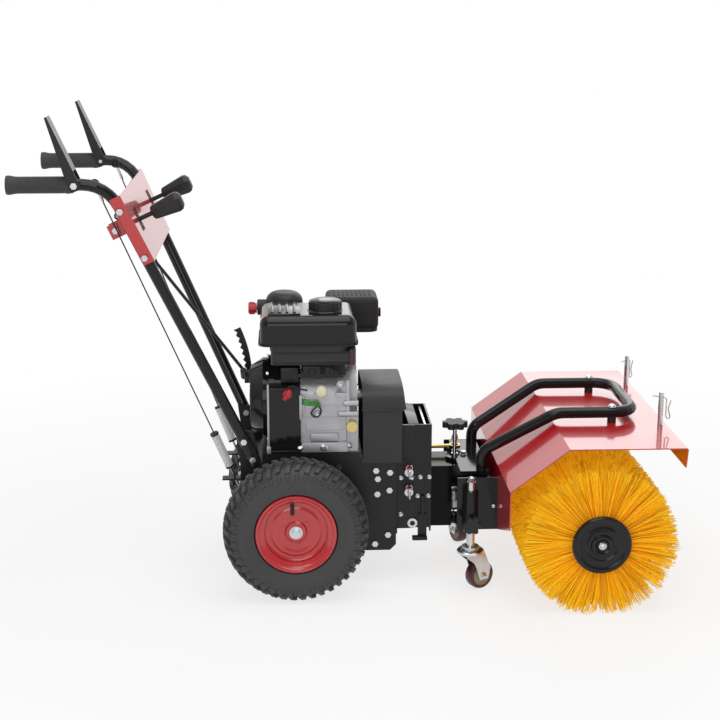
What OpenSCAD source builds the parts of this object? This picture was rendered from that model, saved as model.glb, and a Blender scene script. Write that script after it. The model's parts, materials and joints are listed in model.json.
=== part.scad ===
// Walk-behind power brush sweeper: two-wheel tractor unit with a swivelling front brush head.
// Millimetres, +Z up, +X forward, right side at -Y, ground at Z = 0.

/* [Wheels] */
// Outer diameter of a tyre
tyre_d = 330; // [316:1:344]
// Width of a tyre
tyre_w = 96; // [88:1:104]
// Rounding of a tyre's shoulders
tyre_shoulder = 26; // [16:1:32]
// Diameter over a rim's flanges
rim_d = 180; // [172:1:190]
// Diameter of the seat for the tyre's bead
rim_seat_d = 152; // [146:1:158]
// Width over a rim's flanges
rim_w = 80; // [74:1:84]
// Sheet thickness of a rim
rim_t = 4; // [3:0.5:5]
// Depth of the dish in a rim's outer side
dish_depth = 22; // [14:1:28]
// Diameter of a rim's hub
hub_d = 44; // [36:1:56]
// Distance between the inner faces of the tyres
tyre_gap = 286; // [284:1:300]
// Diameter of the drive axle
axle_d = 20; // [16:1:24]

/* [Chassis] */
// Width over the side plates
chassis_w = 220; // [206:1:224]
// Front wall of the chassis, ahead of the axle
chassis_front = 233; // [230:1:244]
// Rear wall of the chassis, behind the axle
chassis_rear = 125; // [122:1:134]
// Height of the underside
belly_z = 78; // [66:1:82]
// Height of the side plates' top edges
deck_z = 292; // [286:1:300]
// Thickness of the chassis plates
plate_t = 4; // [3:0.5:5]
// Cut at the lower front corner of a side plate
nose_chamfer = 14; // [10:1:24]
// Height of the engine bed
bed_h = 26; // [20:1:32]
// Diameter of a flange bearing
bearing_d = 44; // [38:1:50]

/* [Engine] */
// Height of the crankshaft above the engine bed
crank_h = 106; // [100:1:112]
// Diameter of the crankshaft
crank_d = 25; // [22:1:28]
// Length of the crankcase along the crankshaft
case_len = 131; // [124:1:136]
// Distance from the crankshaft to the crankcase's right face
case_right = 103; // [96:1:108]
// Height of the crankcase
case_h = 172; // [166:1:178]
// Length of the blower housing along the crankshaft
blower_len = 72; // [64:1:80]
// Diameter of the flywheel
flywheel_d = 172; // [150:1:180]
// Diameter of the recoil cover
recoil_d = 184; // [170:1:196]
// Length of the recoil cover along the crankshaft
recoil_len = 40; // [34:1:48]
// Length of the fuel tank
tank_len = 218; // [200:1:226]
// Width of the fuel tank
tank_w = 176; // [160:1:184]
// Height of the fuel tank
tank_h = 82; // [70:1:92]
// Rounding of the fuel tank
tank_r = 22; // [14:1:30]
// Height of the shroud between crankcase and tank
shroud_h = 66; // [58:1:74]
// Diameter of the fuel cap
cap_d = 74; // [64:1:80]
// Diameter of the air filter
filter_d = 88; // [80:1:94]
// Length of the muffler
muffler_len = 120; // [104:1:126]
// Height of the muffler
muffler_h = 78; // [70:1:86]
// Width of the muffler
muffler_w = 110; // [100:1:116]
// Distance from the crankshaft to the muffler's near face
muffler_y = 76; // [74:1:82]

/* [Belt drive] */
// Length of the belt cover along the machine
cover_len = 90; // [84:1:90]
// Room between the engine's pulley and the belt cover's top
pulley_room = 5; // [3:0.5:10]
// Rounding of the belt cover's top
cover_r = 40; // [32:1:46]
// Wall of the belt cover
cover_t = 3; // [2:0.5:4]
// Diameter of the engine pulley
engine_pulley_d = 68; // [60:1:76]
// Diameter of the brush pulley
brush_pulley_d = 88; // [80:1:96]
// Diameter of the traction pulley
traction_pulley_d = 120; // [108:1:128]
// Diameter of the drive disc
disc_d = 140; // [130:1:150]
// Diameter of the friction wheel
friction_d = 90; // [80:1:96]
// Pitch diameter of the axle's sprocket
axle_sprocket_d = 120; // [110:1:126]
// Pitch diameter of the friction shaft's sprocket
small_sprocket_d = 40; // [36:1:46]
// Diameter of the shaft that drives the brush
drive_d = 22; // [20:1:24]

/* [Handle] */
// Diameter of the handle tubes
tube_d = 25; // [22:1:27]
// Wall of the handle tubes
tube_wall = 2; // [1.5:0.5:3]
// Lean of the handle from upright, in degrees
rake = 24.5; // [22:0.5:27]
// Height of the grips' centre line
grip_z = 951; // [900:1:1000]
// Distance of a grip from the middle of the machine
grip_y = 232; // [220:1:240]
// Length of a hand grip
grip_len = 133; // [120:1:138]
// Diameter of a hand grip
grip_d = 35; // [32:1:36]
// Rearmost point of the grips, behind the axle
grip_rear = 595; // [590:1:610]
// Length of the control panel along the tubes
panel_len = 158; // [140:1:170]
// Sheet thickness of the control panel
panel_t = 2; // [1.5:0.5:3]
// Distance of a panel lever from the middle
panel_lever_y = 150; // [130:1:154]
// Length of a panel lever from its pivot to its tip
panel_lever_len = 156; // [144:1:164]
// Length of a hand lever from its pivot to its tip
hand_lever_len = 150; // [130:1:156]
// Length of the arm that pulls a cable
cable_arm = 36; // [34:1:38]
// Wire diameter of a cable
cable_d = 3; // [2:0.5:4]
// Mean diameter of a cable spring
spring_d = 12; // [11:0.5:14]
// Wire diameter of a cable spring
spring_wire = 2; // [1.5:0.25:2.25]
// Number of curls in a cable spring
spring_curls = 16; // [10:1:18]
// Length of a cable spring
spring_len = 70; // [64:1:76]

/* [Hitch] */
// Front wall of the adapter frame, ahead of the axle
adapter_front = 316; // [310:1:322]
// Width over the adapter frame's side plates
adapter_w = 180; // [168:1:190]
// Height of the hitch's top edges
hitch_top = 376; // [360:1:390]
// Height of the hitch's lower edges
hitch_bottom = 125; // [119:1:134]
// Swivel axis of the brush head, ahead of the axle
swivel_x = 380; // [376:1:386]
// Diameter of the swivel pins
swivel_d = 16; // [14:1:18]
// Top face of the upper swivel ear
ear_z = 264; // [260:1:270]
// Thickness of the swivel ears
ear_t = 6; // [5:1:8]

/* [Brush head] */
// Diameter of the brush
brush_d = 350; // [336:1:360]
// Depth by which the bristles are pressed at the ground
brush_crush = 11; // [6:1:14]
// Width over the brush's end discs
brush_w = 654; // [640:1:664]
// Brush axis ahead of the axle
brush_x = 670; // [664:1:680]
// Gap between the two halves of the brush
brush_gap = 88; // [86:1:110]
// Diameter of the brush core
core_d = 90; // [80:1:100]
// Diameter of the end discs
end_disc_d = 130; // [120:1:140]
// Width of one bristle strand
strand_w = 5; // [4:0.5:6]
// Rings of strands in each half
strand_rings = 9; // [7:1:10]
// Strands in each ring
strand_count = 24; // [22:1:25]
// Width of the hood
hood_w = 670; // [666:1:700]
// Front edge of the hood, ahead of the axle
hood_front = 848; // [846:1:870]
// Height of the hood's top
hood_z = 388; // [376:1:392]
// Sheet thickness of the hood
hood_t = 2.5; // [2:0.5:4]
// Rear skirt of the hood, ahead of the axle
skirt_x = 462; // [458:1:468]
// Tube diameter of the guard bar
guard_d = 26; // [22:1:28]
// Distance of the guard bar's sides from the middle
guard_y = 130; // [124:1:136]
// Height of the guard bar's centre line
guard_z = 411; // [408:1:420]
// Front of the guard bar, ahead of the axle
guard_front = 778; // [770:1:790]
// Diameter of an accessory post
post_d = 12; // [10:1:14]
// Height of an accessory post above the hood
post_h = 80; // [70:1:90]
// Distance of an accessory post from the middle
post_y = 170; // [160:1:190]
// Diameter of a spring clip's wire
clip_d = 3; // [2:0.5:3.5]
// Turn of the spring clips round their posts, in degrees
clip_turn = 50; // [0:5:55]

/* [Casters] */
// Diameter of a caster wheel
caster_d = 66; // [60:1:72]
// Width of a caster wheel
caster_w = 25; // [22:1:28]
// Distance from a caster's stem to its wheel's axle
caster_trail = 27; // [24:1:30]
// Diameter of a caster stem
stem_d = 19; // [17:1:21]
// Distance of a caster stem from the middle
caster_y = 168; // [166:1:176]
// Stem's place ahead of the axle
caster_x = 400; // [398:1:408]
// Height of a caster sleeve
sleeve_h = 98; // [90:1:104]

/* [Hidden] */
$fn = 48;

// Clearances: running fits, seats between separate pieces, and free room
run = 0.05;
seat = 0.2;
room = 1;
over = 1;

// Origin: under the middle of the machine's length
middle_x = (hood_front - grip_rear) / 2;

// Chassis levels
axle_z = tyre_d / 2;
wheel_y = tyre_gap / 2 + tyre_w / 2;
side_y = chassis_w / 2;
engine_z = deck_z + bed_h;
crank_z = engine_z + crank_h;
brush_z = brush_d / 2 - brush_crush;
drive_z = brush_z;
bed_rear = -75;
bed_front = 150;
bolt_d = 8;
bolt_head = 13;
bolt_head_h = 6;

// Wheel
dish_y = rim_w / 2 - dish_depth - rim_t;
hub_out = dish_y + rim_t + 6;
axle_end = wheel_y + hub_out;

// Belt drive
case_rear = 14;
cylinder_tilt = 25;
case_front = case_rear + case_len;
bulkhead_x = 152;
bulkhead_t = 6;
pulley_flange = 4;
groove_w = 10;
belt_w = 8;
belt_t = 6;
belt_gap = 0.4;
traction_x = bulkhead_x + bulkhead_t + 8;
pulley_w = groove_w + 2 * pulley_flange;
brush_belt_x = traction_x + pulley_w + 6;
disc_t = 8;
disc_z = 205;
disc_x = bulkhead_x - room - disc_t;
friction_x = disc_x - 0.3 - friction_d / 2;
friction_shaft_d = 16;
friction_y = 35;
friction_w = 14;
sprocket_y = -84;
sprocket_t = 5;
tooth_h = 4;
chain_t = 6;

// Handle: foot bolts, the outward bend above them and the rear corner
back = [-sin(rake), 0, cos(rake)];
tube_y = side_y + tube_d / 2;
foot = [-96, tube_y, deck_z + 20];
foot_pitch = 47;
foot_up = foot + foot_pitch * back;
tube_end = foot - 15 * back;
splay = foot + 64 * back;
corner = [splay.x - (grip_z - splay.z) * tan(rake), grip_y, grip_z];
tube_tip = [4 - grip_rear, grip_y, grip_z];
corner_bend = 80;
tube_sides = 24;
rise = (grip_z - splay.z) / cos(rake);
panel_top = rise - 31;
panel_low = panel_top - panel_len;
panel_n = tube_d / 2 + 1.5;
panel_bolts = [panel_low + 15, panel_top - 31];
lever_s = panel_top - 70;
lever_n = -38;
lever_tilt = 15;
pivot_x = corner.x - 65;
pivot_d = 8;
lever_in = grip_d + 3;
lever_wall = 2.5;
lever_rest = 114;
arm_rest = -5;
arm_y = grip_y - lever_in / 2 - lever_wall;
cable_top = [pivot_x + cable_arm * cos(arm_rest), arm_y - 12, grip_z + cable_arm * sin(arm_rest)];
cable_foot = [-chassis_rear - 22, 99, deck_z - 12];
cable_dir = unit(cable_foot - cable_top);
cable_len = norm(cable_foot - cable_top);
cable_tab_z = deck_z - 34;
collar_h = 5;
spring_top = cable_len - spring_len - 2 * collar_h - 10;

// Shift rod from the speed lever's tail to the guide on the quadrant
lever_tail = 30;
shift_d = 8;
shift_top = handle_point(panel_lever_y - 14, lever_s, lever_n - lever_tail);
shift_foot = [-104, 100, 441];
quadrant_y = 106;

// Hitch, ears and swivel
hitch_t = 4;
hitch_side = adapter_w / 2 + seat + hitch_t;
ear_low = 116;
ear_half = 56;
ear_r = 26;
plate_gap = 2;
head_plate_t = 6;
head_plate_z = ear_z + plate_gap;
head_low_z = ear_low - plate_gap - head_plate_t;
head_half = 122;
head_wall_x = 440;
wing_y = 150;
wing_low = 140;
post_tip = 20;
wing_top = 265;
pin_zs = [268, 220];
pin_x = 262;
angle_rod_y = 45;
angle_rod_d = 10;
angle_rod_z = head_plate_z + head_plate_t + 9;

// Brush and gearbox
half_start = brush_gap / 2;
end_disc_t = 5;
sleeve_t = 5;
spindle_d = 25;
core_wall = 4;
case_d = 92;
case_half = brush_gap / 2 - 5;
case_wall = 6;
torque_d = 54;
torque_bore = 42;
input_d = 20;
ball_r = 22;
cup_t = 6;
neck_d = 16;
cup_mouth = 46;
gear_r = 34;
pinion_r = 17;

// Casters
stem_top = 262;
fork_z = caster_d / 2 + 58;
fork_t = 8;
sleeve_d = stem_d + 13;
sleeve_low = fork_z + fork_t + 44;
caster_turn = [-30, -70];
leg_t = 3;

function unit(v) = v / norm(v);
function turn_at(p, q, r) = acos(max(-1, min(1, unit(q - p) * unit(r - q))));
function trim_at(p, q, r, bend) = bend * tan(turn_at(p, q, r) / 2);
function handle_point(y, s, n) = [splay.x - s * sin(rake) + n * cos(rake), y,
    splay.z + s * cos(rake) + n * sin(rake)];
function tube_half(s) = tube_y + (grip_y - tube_y) * s / rise;

module block(lo, hi) translate(lo) cube(hi - lo);
module bar_x(x0, x1, d) translate([x0, 0, 0]) rotate([0, 90, 0]) cylinder(d = d, h = x1 - x0);
module bar_y(y0, y1, d) translate([0, y0, 0]) rotate([-90, 0, 0]) cylinder(d = d, h = y1 - y0);
module bar_z(z0, z1, d) translate([0, 0, z0]) cylinder(d = d, h = z1 - z0);
module hex_y(y0, y1, af) translate([0, y0, 0]) rotate([-90, 0, 0])
    cylinder(d = af / cos(30), h = y1 - y0, $fn = 6);
module both() {
    children();
    mirror([0, 1, 0]) children();
}
module side(s) mirror([0, s < 0 ? 1 : 0, 0]) children();
module about_y() rotate([-90, 0, 0]) rotate_extrude() children();
module about_x() rotate([0, 90, 0]) rotate_extrude() children();
module plate_xz(points, y0, y1) translate([0, y1, 0]) rotate([90, 0, 0])
    linear_extrude(y1 - y0) polygon(points);
module plate_yz(x0, x1) translate([x0, 0, 0]) rotate([90, 0, 90]) linear_extrude(x1 - x0) children();
module strut(a, b, d) {
    v = b - a;
    translate(a) rotate([0, acos(v.z / norm(v)), atan2(v.y, v.x)]) cylinder(d = d, h = norm(v));
}
// Slab with round upright corners
module round_slab(lo, hi, r) {
    block([lo.x + r, lo.y, lo.z], [hi.x - r, hi.y, hi.z]);
    block([lo.x, lo.y + r, lo.z], [hi.x, hi.y - r, hi.z]);
    for (x = [lo.x + r, hi.x - r], y = [lo.y + r, hi.y - r]) translate([x, y, 0]) bar_z(lo.z, hi.z, 2 * r);
}
// Round bar swept through points, with a bend radius at each inner point
bend_steps = 6;
function bend_points(p, q, r, bend) = let (u = unit(q - p), v = unit(r - q), turn = turn_at(p, q, r),
    inward = unit(v - (u * v) * u), centre = q - trim_at(p, q, r, bend) * u + bend * inward)
    [for (k = [0 : bend_steps]) let (a = turn * k / bend_steps) centre + bend * (sin(a) * u - cos(a) * inward)];
function route(pts, bends) = let (last = len(pts) - 1) concat([pts[0]],
    [for (i = [1 : last - 1]) each bend_points(pts[i - 1], pts[i], pts[i + 1], bends[i])], [pts[last]]);
function headings(w) = let (last = len(w) - 1) [for (i = [0 : last])
    unit((i < last ? unit(w[i + 1] - w[i]) : [0, 0, 0]) + (i > 0 ? unit(w[i] - w[i - 1]) : [0, 0, 0]))];
function carried(t, n) = len(n) == len(t) ? n
    : let (h = t[len(n)], m = n[len(n) - 1]) carried(t, concat(n, [unit(m - (m * h) * h)]));

module bent_bar(pts, bends, d, sides) {
    w = route(pts, bends);
    t = headings(w);
    side_way = abs(t[0].y) < 0.7 ? [0, 1, 0] : [0, 0, 1];
    n = carried(t, [unit(side_way - (side_way * t[0]) * t[0])]);
    last = len(w) - 1;
    polyhedron(
        points = [for (i = [0 : last], k = [0 : sides - 1]) let (a = 360 * k / sides)
            w[i] + d / 2 * (cos(a) * n[i] + sin(a) * cross(t[i], n[i]))],
        faces = concat(
            [for (i = [0 : last - 1], k = [0 : sides - 1]) let (a = sides * i, j = (k + 1) % sides)
                [a + k, a + sides + k, a + sides + j]],
            [for (i = [0 : last - 1], k = [0 : sides - 1]) let (a = sides * i, j = (k + 1) % sides)
                [a + k, a + sides + j, a + j]],
            [for (k = [1 : sides - 2]) [0, k, k + 1]],
            [for (k = [1 : sides - 2]) [sides * last, sides * last + k + 1, sides * last + k]]));
}
// Outline of a belt around two wheels: radii a at the upper centre, b at the lower one, drop apart
module belt_outline(a, b, drop) {
    lean = asin((b - a) / drop);
    circle(r = a);
    translate([0, -drop]) circle(r = b);
    polygon([[a * cos(lean), a * sin(lean)], [b * cos(lean), b * sin(lean) - drop],
        [-b * cos(lean), b * sin(lean) - drop], [-a * cos(lean), a * sin(lean)]]);
}
module belt_loop(a, b, drop, t) difference() {
    belt_outline(a + t, b + t, drop);
    belt_outline(a, b, drop);
}
// Groove pulley about X, from x = 0
module pulley(d, bore) about_x() difference() {
    translate([bore / 2, 0]) square([d / 2 - bore / 2, pulley_w]);
    translate([d / 2 - belt_t - 2, pulley_flange]) square([belt_t + 3, groove_w]);
}
// Sprocket disc in the X-Z plane
module sprocket(d, bore) {
    n = round(d * PI / 12);
    rotate([90, 0, 0]) linear_extrude(sprocket_t, center = true) difference() {
        polygon([for (i = [0 : 2 * n - 1]) (d / 2 + (i % 2) * tooth_h) * [cos(i * 180 / n), sin(i * 180 / n)]]);
        circle(d = bore);
    }
}
// Hand knob with lobes about Z, from z = 0
module lobed_knob(d, h, lobes) {
    cylinder(d = 0.72 * d, h = h);
    for (i = [0 : lobes - 1]) rotate(i * 360 / lobes) translate([0.36 * d, 0, 0]) cylinder(d = 0.28 * d, h = h);
}
module in_handle() multmatrix([[0, -sin(rake), cos(rake), splay.x], [1, 0, 0, 0],
    [0, cos(rake), sin(rake), splay.z], [0, 0, 0, 1]]) children();

// Wheels and axle
module at_wheel(s) side(s) translate([0, wheel_y, axle_z]) children();

module tyres() color("#262626") for (s = [1, -1]) at_wheel(s) about_y() {
    bead_r = rim_seat_d / 2 + seat;
    body_r = rim_d / 2 + room;
    bead_half = rim_w / 2 - rim_t - seat;
    half = tyre_w / 2;
    translate([bead_r, -bead_half]) square([body_r - bead_r + over, 2 * bead_half]);
    translate([body_r, -half]) square([tyre_d / 2 - tyre_shoulder - body_r, tyre_w]);
    translate([body_r, tyre_shoulder - half]) square([tyre_d / 2 - body_r, tyre_w - 2 * tyre_shoulder]);
    for (y = [half - tyre_shoulder, tyre_shoulder - half])
        translate([tyre_d / 2 - tyre_shoulder, y]) circle(r = tyre_shoulder);
}

module rims() color("#c4171b") for (s = [1, -1]) at_wheel(s) about_y() {
    inner = rim_seat_d / 2 - rim_t;
    translate([inner, -rim_w / 2]) square([rim_t, rim_w]);
    for (y = [-rim_w / 2, rim_w / 2 - rim_t]) translate([inner, y]) square([rim_d / 2 - inner, rim_t]);
    translate([axle_d / 2 + run + 1, dish_y]) square([inner - axle_d / 2, rim_t]);
    translate([axle_d / 2 + run, -rim_w / 2]) square([hub_d / 2 - axle_d / 2 - run, rim_w / 2 + hub_out]);
}

module drive_axle() color("silver") translate([0, 0, axle_z]) {
    bar_y(-axle_end, axle_end, axle_d);
    both() {
        bar_y(axle_end, axle_end + 3, axle_d + 10);
        hex_y(axle_end + 3, axle_end + 11, 17);
    }
    translate([0, sprocket_y, 0]) sprocket(axle_sprocket_d, axle_d + 2 * run);
}

// Chassis
side_bolt_places = [[186, 274], [218, 269], [190, 254], [217, 226], [189, 217], [214, 117], [184, 95], [100, 280]];

module side_plates() color("#1c1c1c") both() difference() {
    plate_xz([[-chassis_rear, belly_z], [chassis_front - nose_chamfer, belly_z],
        [chassis_front, belly_z + nose_chamfer], [chassis_front, deck_z], [min(foot.x + 26, bed_rear - room), deck_z],
        [foot_up.x + 20, foot_up.z + 18], [foot_up.x - 20, foot_up.z + 18], [-chassis_rear, deck_z]],
        side_y - plate_t, side_y);
    translate([0, 0, axle_z]) bar_y(side_y - plate_t - over, side_y + over, bearing_d + 2 * run);
    translate([friction_x, 0, disc_z]) bar_y(side_y - plate_t - over, side_y + over, friction_shaft_d + 2 * run);
    for (p = [foot, foot_up]) translate([p.x, 0, p.z]) bar_y(side_y - 2 * plate_t, side_y + over, bolt_d + seat);
    for (p = side_bolt_places) translate([p.x, 0, p.y])
        bar_y(side_y - 2 * plate_t, side_y + over, bolt_d + seat);
}

module axle_bearings() color("#b9bcc0") both() translate([0, 0, axle_z]) difference() {
    union() {
        bar_y(side_y - plate_t - 8, side_y + 2, bearing_d);
        bar_y(side_y - plate_t - 8, side_y - plate_t, bearing_d + 20);
    }
    bar_y(side_y - 20, side_y + 20, axle_d + 2 * run);
}

module chassis_tray() color("#232323") {
    half = side_y - plate_t;
    in = plate_t * tan(22.5);
    difference() {
        union() {
            plate_xz([[-chassis_rear, belly_z], [chassis_front - nose_chamfer, belly_z],
                [chassis_front, belly_z + nose_chamfer], [chassis_front, deck_z],
                [chassis_front - plate_t, deck_z], [chassis_front - plate_t, belly_z + nose_chamfer + in],
                [chassis_front - nose_chamfer - in, belly_z + plate_t],
                [plate_t - chassis_rear, belly_z + plate_t], [plate_t - chassis_rear, deck_z - plate_t],
                [bed_rear, deck_z - plate_t], [bed_rear, deck_z], [-chassis_rear, deck_z]], -half, half);
            block([bulkhead_x, -half, belly_z + plate_t], [bulkhead_x + bulkhead_t, half, deck_z - room]);
            translate([0, 0, drive_z]) bar_x(chassis_front - 20, chassis_front, drive_d + 22);
            both() block([-chassis_rear - 42, cable_foot.y - 16, cable_tab_z - plate_t],
                [-chassis_rear, side_y - plate_t, cable_tab_z]);
        }
        translate([0, 0, drive_z]) bar_x(chassis_front - 40, chassis_front + over, drive_d + 2 * run);
        translate([0, 0, disc_z]) bar_x(bulkhead_x - over, bulkhead_x + bulkhead_t + over,
            friction_shaft_d + 2 * run);
        both() strut(cable_foot - 40 * cable_dir, cable_foot + 75 * cable_dir, 5 + 2 * seat);
        both() for (p = side_bolt_places) translate([p.x, 0, p.y])
            bar_y(half - 3 * plate_t, half + over, bolt_d + seat);
    }
}

module engine_bed() color("#202020") {
    block([bed_rear, -side_y, engine_z - 5], [bed_front, side_y, engine_z]);
    both() block([bed_rear, side_y - plate_t, deck_z], [bed_front, side_y, engine_z - 4]);
}

cover_half = side_y + 2;
cover_rear = bulkhead_x + 4;
cover_z = crank_z + engine_pulley_d / 2 + pulley_room + cover_t - cover_r;

// Arched end outline of the belt cover, drawn in by t
module cover_arch(t) {
    w = cover_half - t;
    r = cover_r - t;
    flat = cover_half - cover_r;
    translate([-w, deck_z - over]) square([2 * w, cover_z - deck_z + over]);
    translate([-flat, cover_z - over]) square([2 * flat, r + over]);
    for (y = [-flat, flat]) translate([y, cover_z]) circle(r = r);
}

module belt_cover() color("#1a1a1a") difference() {
    plate_yz(cover_rear, cover_rear + cover_len) cover_arch(0);
    plate_yz(cover_rear - over, cover_rear + cover_len - cover_t) cover_arch(cover_t);
    block([cover_rear - over, -2 * cover_half, 0], [cover_rear + cover_len + over, 2 * cover_half, deck_z]);
}

module drive_belts() color("#333333") {
    engine_r = engine_pulley_d / 2 - belt_t - 2 + belt_gap;
    plate_yz(brush_belt_x + pulley_flange + 1, brush_belt_x + pulley_flange + 1 + belt_w)
        translate([0, crank_z])
        belt_loop(engine_r, brush_pulley_d / 2 - belt_t - 2 + belt_gap, crank_z - drive_z, belt_t);
    plate_yz(traction_x + pulley_flange + 1, traction_x + pulley_flange + 1 + belt_w)
        translate([0, crank_z])
        belt_loop(engine_r, traction_pulley_d / 2 - belt_t - 2 + belt_gap, crank_z - disc_z, belt_t);
    span = norm([friction_x, disc_z - axle_z]);
    tilt = atan2(friction_x, disc_z - axle_z);
    translate([0, sprocket_y, axle_z]) rotate([0, tilt, 0]) rotate([90, 0, 0]) translate([0, span])
        linear_extrude(sprocket_t + 2, center = true)
        belt_loop(small_sprocket_d / 2 + tooth_h + belt_gap, axle_sprocket_d / 2 + tooth_h + belt_gap, span, chain_t);
}

module drive_disc() color("#8f9296") translate([0, 0, disc_z]) {
    bar_x(disc_x, disc_x + disc_t, disc_d);
    bar_x(disc_x + disc_t - over, traction_x + pulley_w, friction_shaft_d);
    translate([traction_x, 0, 0]) pulley(traction_pulley_d, friction_shaft_d - 1);
}

module friction_shaft() color("#777a80") translate([friction_x, 0, disc_z]) {
    bar_y(2 - side_y, side_y - 2, friction_shaft_d);
    translate([0, friction_y, 0]) bar_y(-friction_w / 2, friction_w / 2, friction_d);
    translate([0, sprocket_y, 0]) sprocket(small_sprocket_d, friction_shaft_d - 1);
}

// Engine
module crankshaft() color("#9a9da1") translate([0, 0, crank_z]) {
    bar_x(case_rear - blower_len + 10, brush_belt_x + pulley_w + 4, crank_d);
    bar_x(case_rear - blower_len + 14, case_rear - 14, flywheel_d);
    for (x = [traction_x, brush_belt_x]) translate([x, 0, 0]) pulley(engine_pulley_d, crank_d - 1);
}

sump_left = 70;
boss_len = 40;
boss_h = 90;

module crankcase() color("#a9abad") difference() {
    union() {
        block([case_rear, -case_right, engine_z], [case_front, sump_left, engine_z + 12]);
        block([case_front - boss_len, -case_right, engine_z], [case_front, -boss_len, engine_z + boss_h]);
        plate_yz(case_rear, case_front - 20) polygon([[-case_right, engine_z], [-case_right, engine_z + case_h - 36],
            [36 - case_right, engine_z + case_h], [20, engine_z + case_h], [62, engine_z + 110], [62, engine_z]]);
        translate([0, 0, crank_z]) bar_x(case_front - 21, case_front, 150);
        translate([0, 0, crank_z]) rotate([cylinder_tilt, 0, 0]) {
            block([case_rear + 12, 20, -40], [case_front - 34, 166, 40]);
            for (i = [0 : 6]) block([case_rear + 2, 74 + 11 * i, -54], [case_front - 24, 78 + 11 * i, 54]);
            block([case_rear + 8, 152, -46], [case_front - 30, 176, 46]);
        }
    }
    translate([0, 0, crank_z]) bar_x(-over, case_front + over, crank_d + 2 * run);
    translate([case_front - 14, 0, engine_z + 62]) bar_y(-case_right - over, 30 - case_right, 16 + 2 * run);
}

module oil_plug() color("#c79a2b") translate([case_front - 14, 0, engine_z + 62]) {
    bar_y(-case_right - 12, -case_right - seat, 25);
    bar_y(-case_right - over, 22 - case_right, 16);
}

blower_d = flywheel_d + 24;

module blower_housing() color("#1b1b1b") {
    rear = case_rear - blower_len;
    difference() {
        plate_yz(rear, case_rear) {
            translate([-case_right - 8, engine_z + 2]) square([case_right + 104, 150]);
            translate([0, crank_z]) circle(d = blower_d);
        }
        translate([0, 0, crank_z]) bar_x(rear - over, case_rear - 5, flywheel_d + 6);
        translate([0, 0, crank_z]) bar_x(rear - over, case_rear + over, crank_d + 6);
        translate([-16, 0, engine_z + 142]) bar_y(-case_right - 9, 4 - case_right, 8 + 2 * run);
    }
}

module recoil_cover() color("#202020") translate([0, 0, crank_z]) {
    rear = case_rear - blower_len;
    difference() {
        union() {
            bar_x(rear - 14, rear, recoil_d);
            translate([rear - recoil_len, 0, 0]) rotate([0, 90, 0])
                cylinder(d1 = recoil_d - 36, d2 = recoil_d, h = recoil_len - 13);
        }
        bar_x(rear - recoil_len + 4, rear + over, recoil_d - 60);
        translate([rear - recoil_len, 60, 40]) bar_x(-over, 16, 10);
    }
}

module starter_grip() color("#1a1a1a") translate([case_rear - blower_len - recoil_len, 60, crank_z + 40]) {
    bar_x(-14, 12, 9);
    bar_x(-14, -seat, 18);
    translate([-20, 0, 0]) rotate([-30, 0, 0]) bar_y(-24, 24, 16);
}

module engine_switch() color("#c01a1a") translate([-16, 0, engine_z + 142]) {
    bar_y(-case_right - 20, -case_right - 8 - seat, 20);
    bar_y(-case_right - 9, 3 - case_right, 8);
}

module engine_shroud() color("#242424") {
    low = engine_z + case_h;
    step = crank_z + blower_d / 2 + room;
    round_slab([case_rear - blower_len + 6, -case_right + 2, step], [case_front - 4, 56, tank_z], 14);
    block([case_rear + 6, 40 - case_right, low], [case_front - 26, 16, step + over]);
}

tank_z = engine_z + case_h + shroud_h;
tank_rear = -76;
muffler_lap = 61;
muffler_round = 24;
tank_left = 60;
cap_place = [73, -44];
filler_d = 52;
pan_in = [22, 5, 0];

module fuel_tank() color("#1d1d1d") difference() {
    union() {
        lo = [tank_rear, tank_left - tank_w, tank_z];
        hi = [tank_rear + tank_len, tank_left, tank_z + tank_h];
        round_slab(lo + pan_in, [hi.x, hi.y, lo.z + 16] - [pan_in.x, pan_in.y, 0], tank_r);
        round_slab(lo + [-4, -4, 14], [hi.x + 4, hi.y + 4, lo.z + 18], tank_r + 4);
        hull() for (x = [lo.x + tank_r, hi.x - tank_r], y = [lo.y + tank_r, hi.y - tank_r]) translate([x, y, 0]) {
            translate([0, 0, lo.z + 17]) cylinder(r = tank_r, h = 4, $fn = 32);
            translate([0, 0, hi.z - tank_r]) sphere(r = tank_r, $fn = 32);
        }
        translate([cap_place.x, cap_place.y, 0]) bar_z(hi.z - 4, hi.z + 8, filler_d);
    }
    translate([cap_place.x, cap_place.y, 0]) bar_z(tank_z + 30, tank_z + tank_h + 9, filler_d - 8);
}

module fuel_cap() color("#151515") translate([cap_place.x, cap_place.y, tank_z + tank_h]) difference() {
    union() {
        translate([0, 0, 1]) cylinder(d = cap_d, h = 21);
        for (i = [0 : 17]) rotate(i * 20) translate([cap_d / 2 - 1, -2, 1]) cube([2, 4, 18]);
    }
    translate([0, 0, -over]) cylinder(d = filler_d + 2 * run, h = 9.3 + over);
}

filter_place = [-20, 122];
filter_rise = 93;
filter_top = tank_z + filter_rise;

module air_filter() color("#1e1e1e") translate([filter_place.x, filter_place.y, 0]) {
    difference() {
        union() {
            bar_z(tank_z - 4, filter_top - 24, filter_d);
            translate([0, 0, filter_top - 24]) rotate_extrude() {
                square([filter_d / 2 - 24, 24]);
                intersection() {
                    translate([filter_d / 2 - 24, 0]) circle(r = 24);
                    square([filter_d / 2, 24]);
                }
            }
            block([-26, -34, tank_z - 62], [case_rear + 2 - filter_place.x, 20, tank_z - 3]);
        }
        translate([0, 0, choke_z]) bar_x(-filter_d / 2 - 20, 20 - filter_d / 2, 8 + 2 * run);
    }
}

choke_z = filter_top - 40;

module choke_knob() color("#c4171b") translate([filter_place.x, filter_place.y, choke_z]) {
    bar_x(-filter_d / 2 - 42, -filter_d / 2 - 22, 24);
    bar_x(-filter_d / 2 - 23, 18 - filter_d / 2, 8);
}

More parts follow.
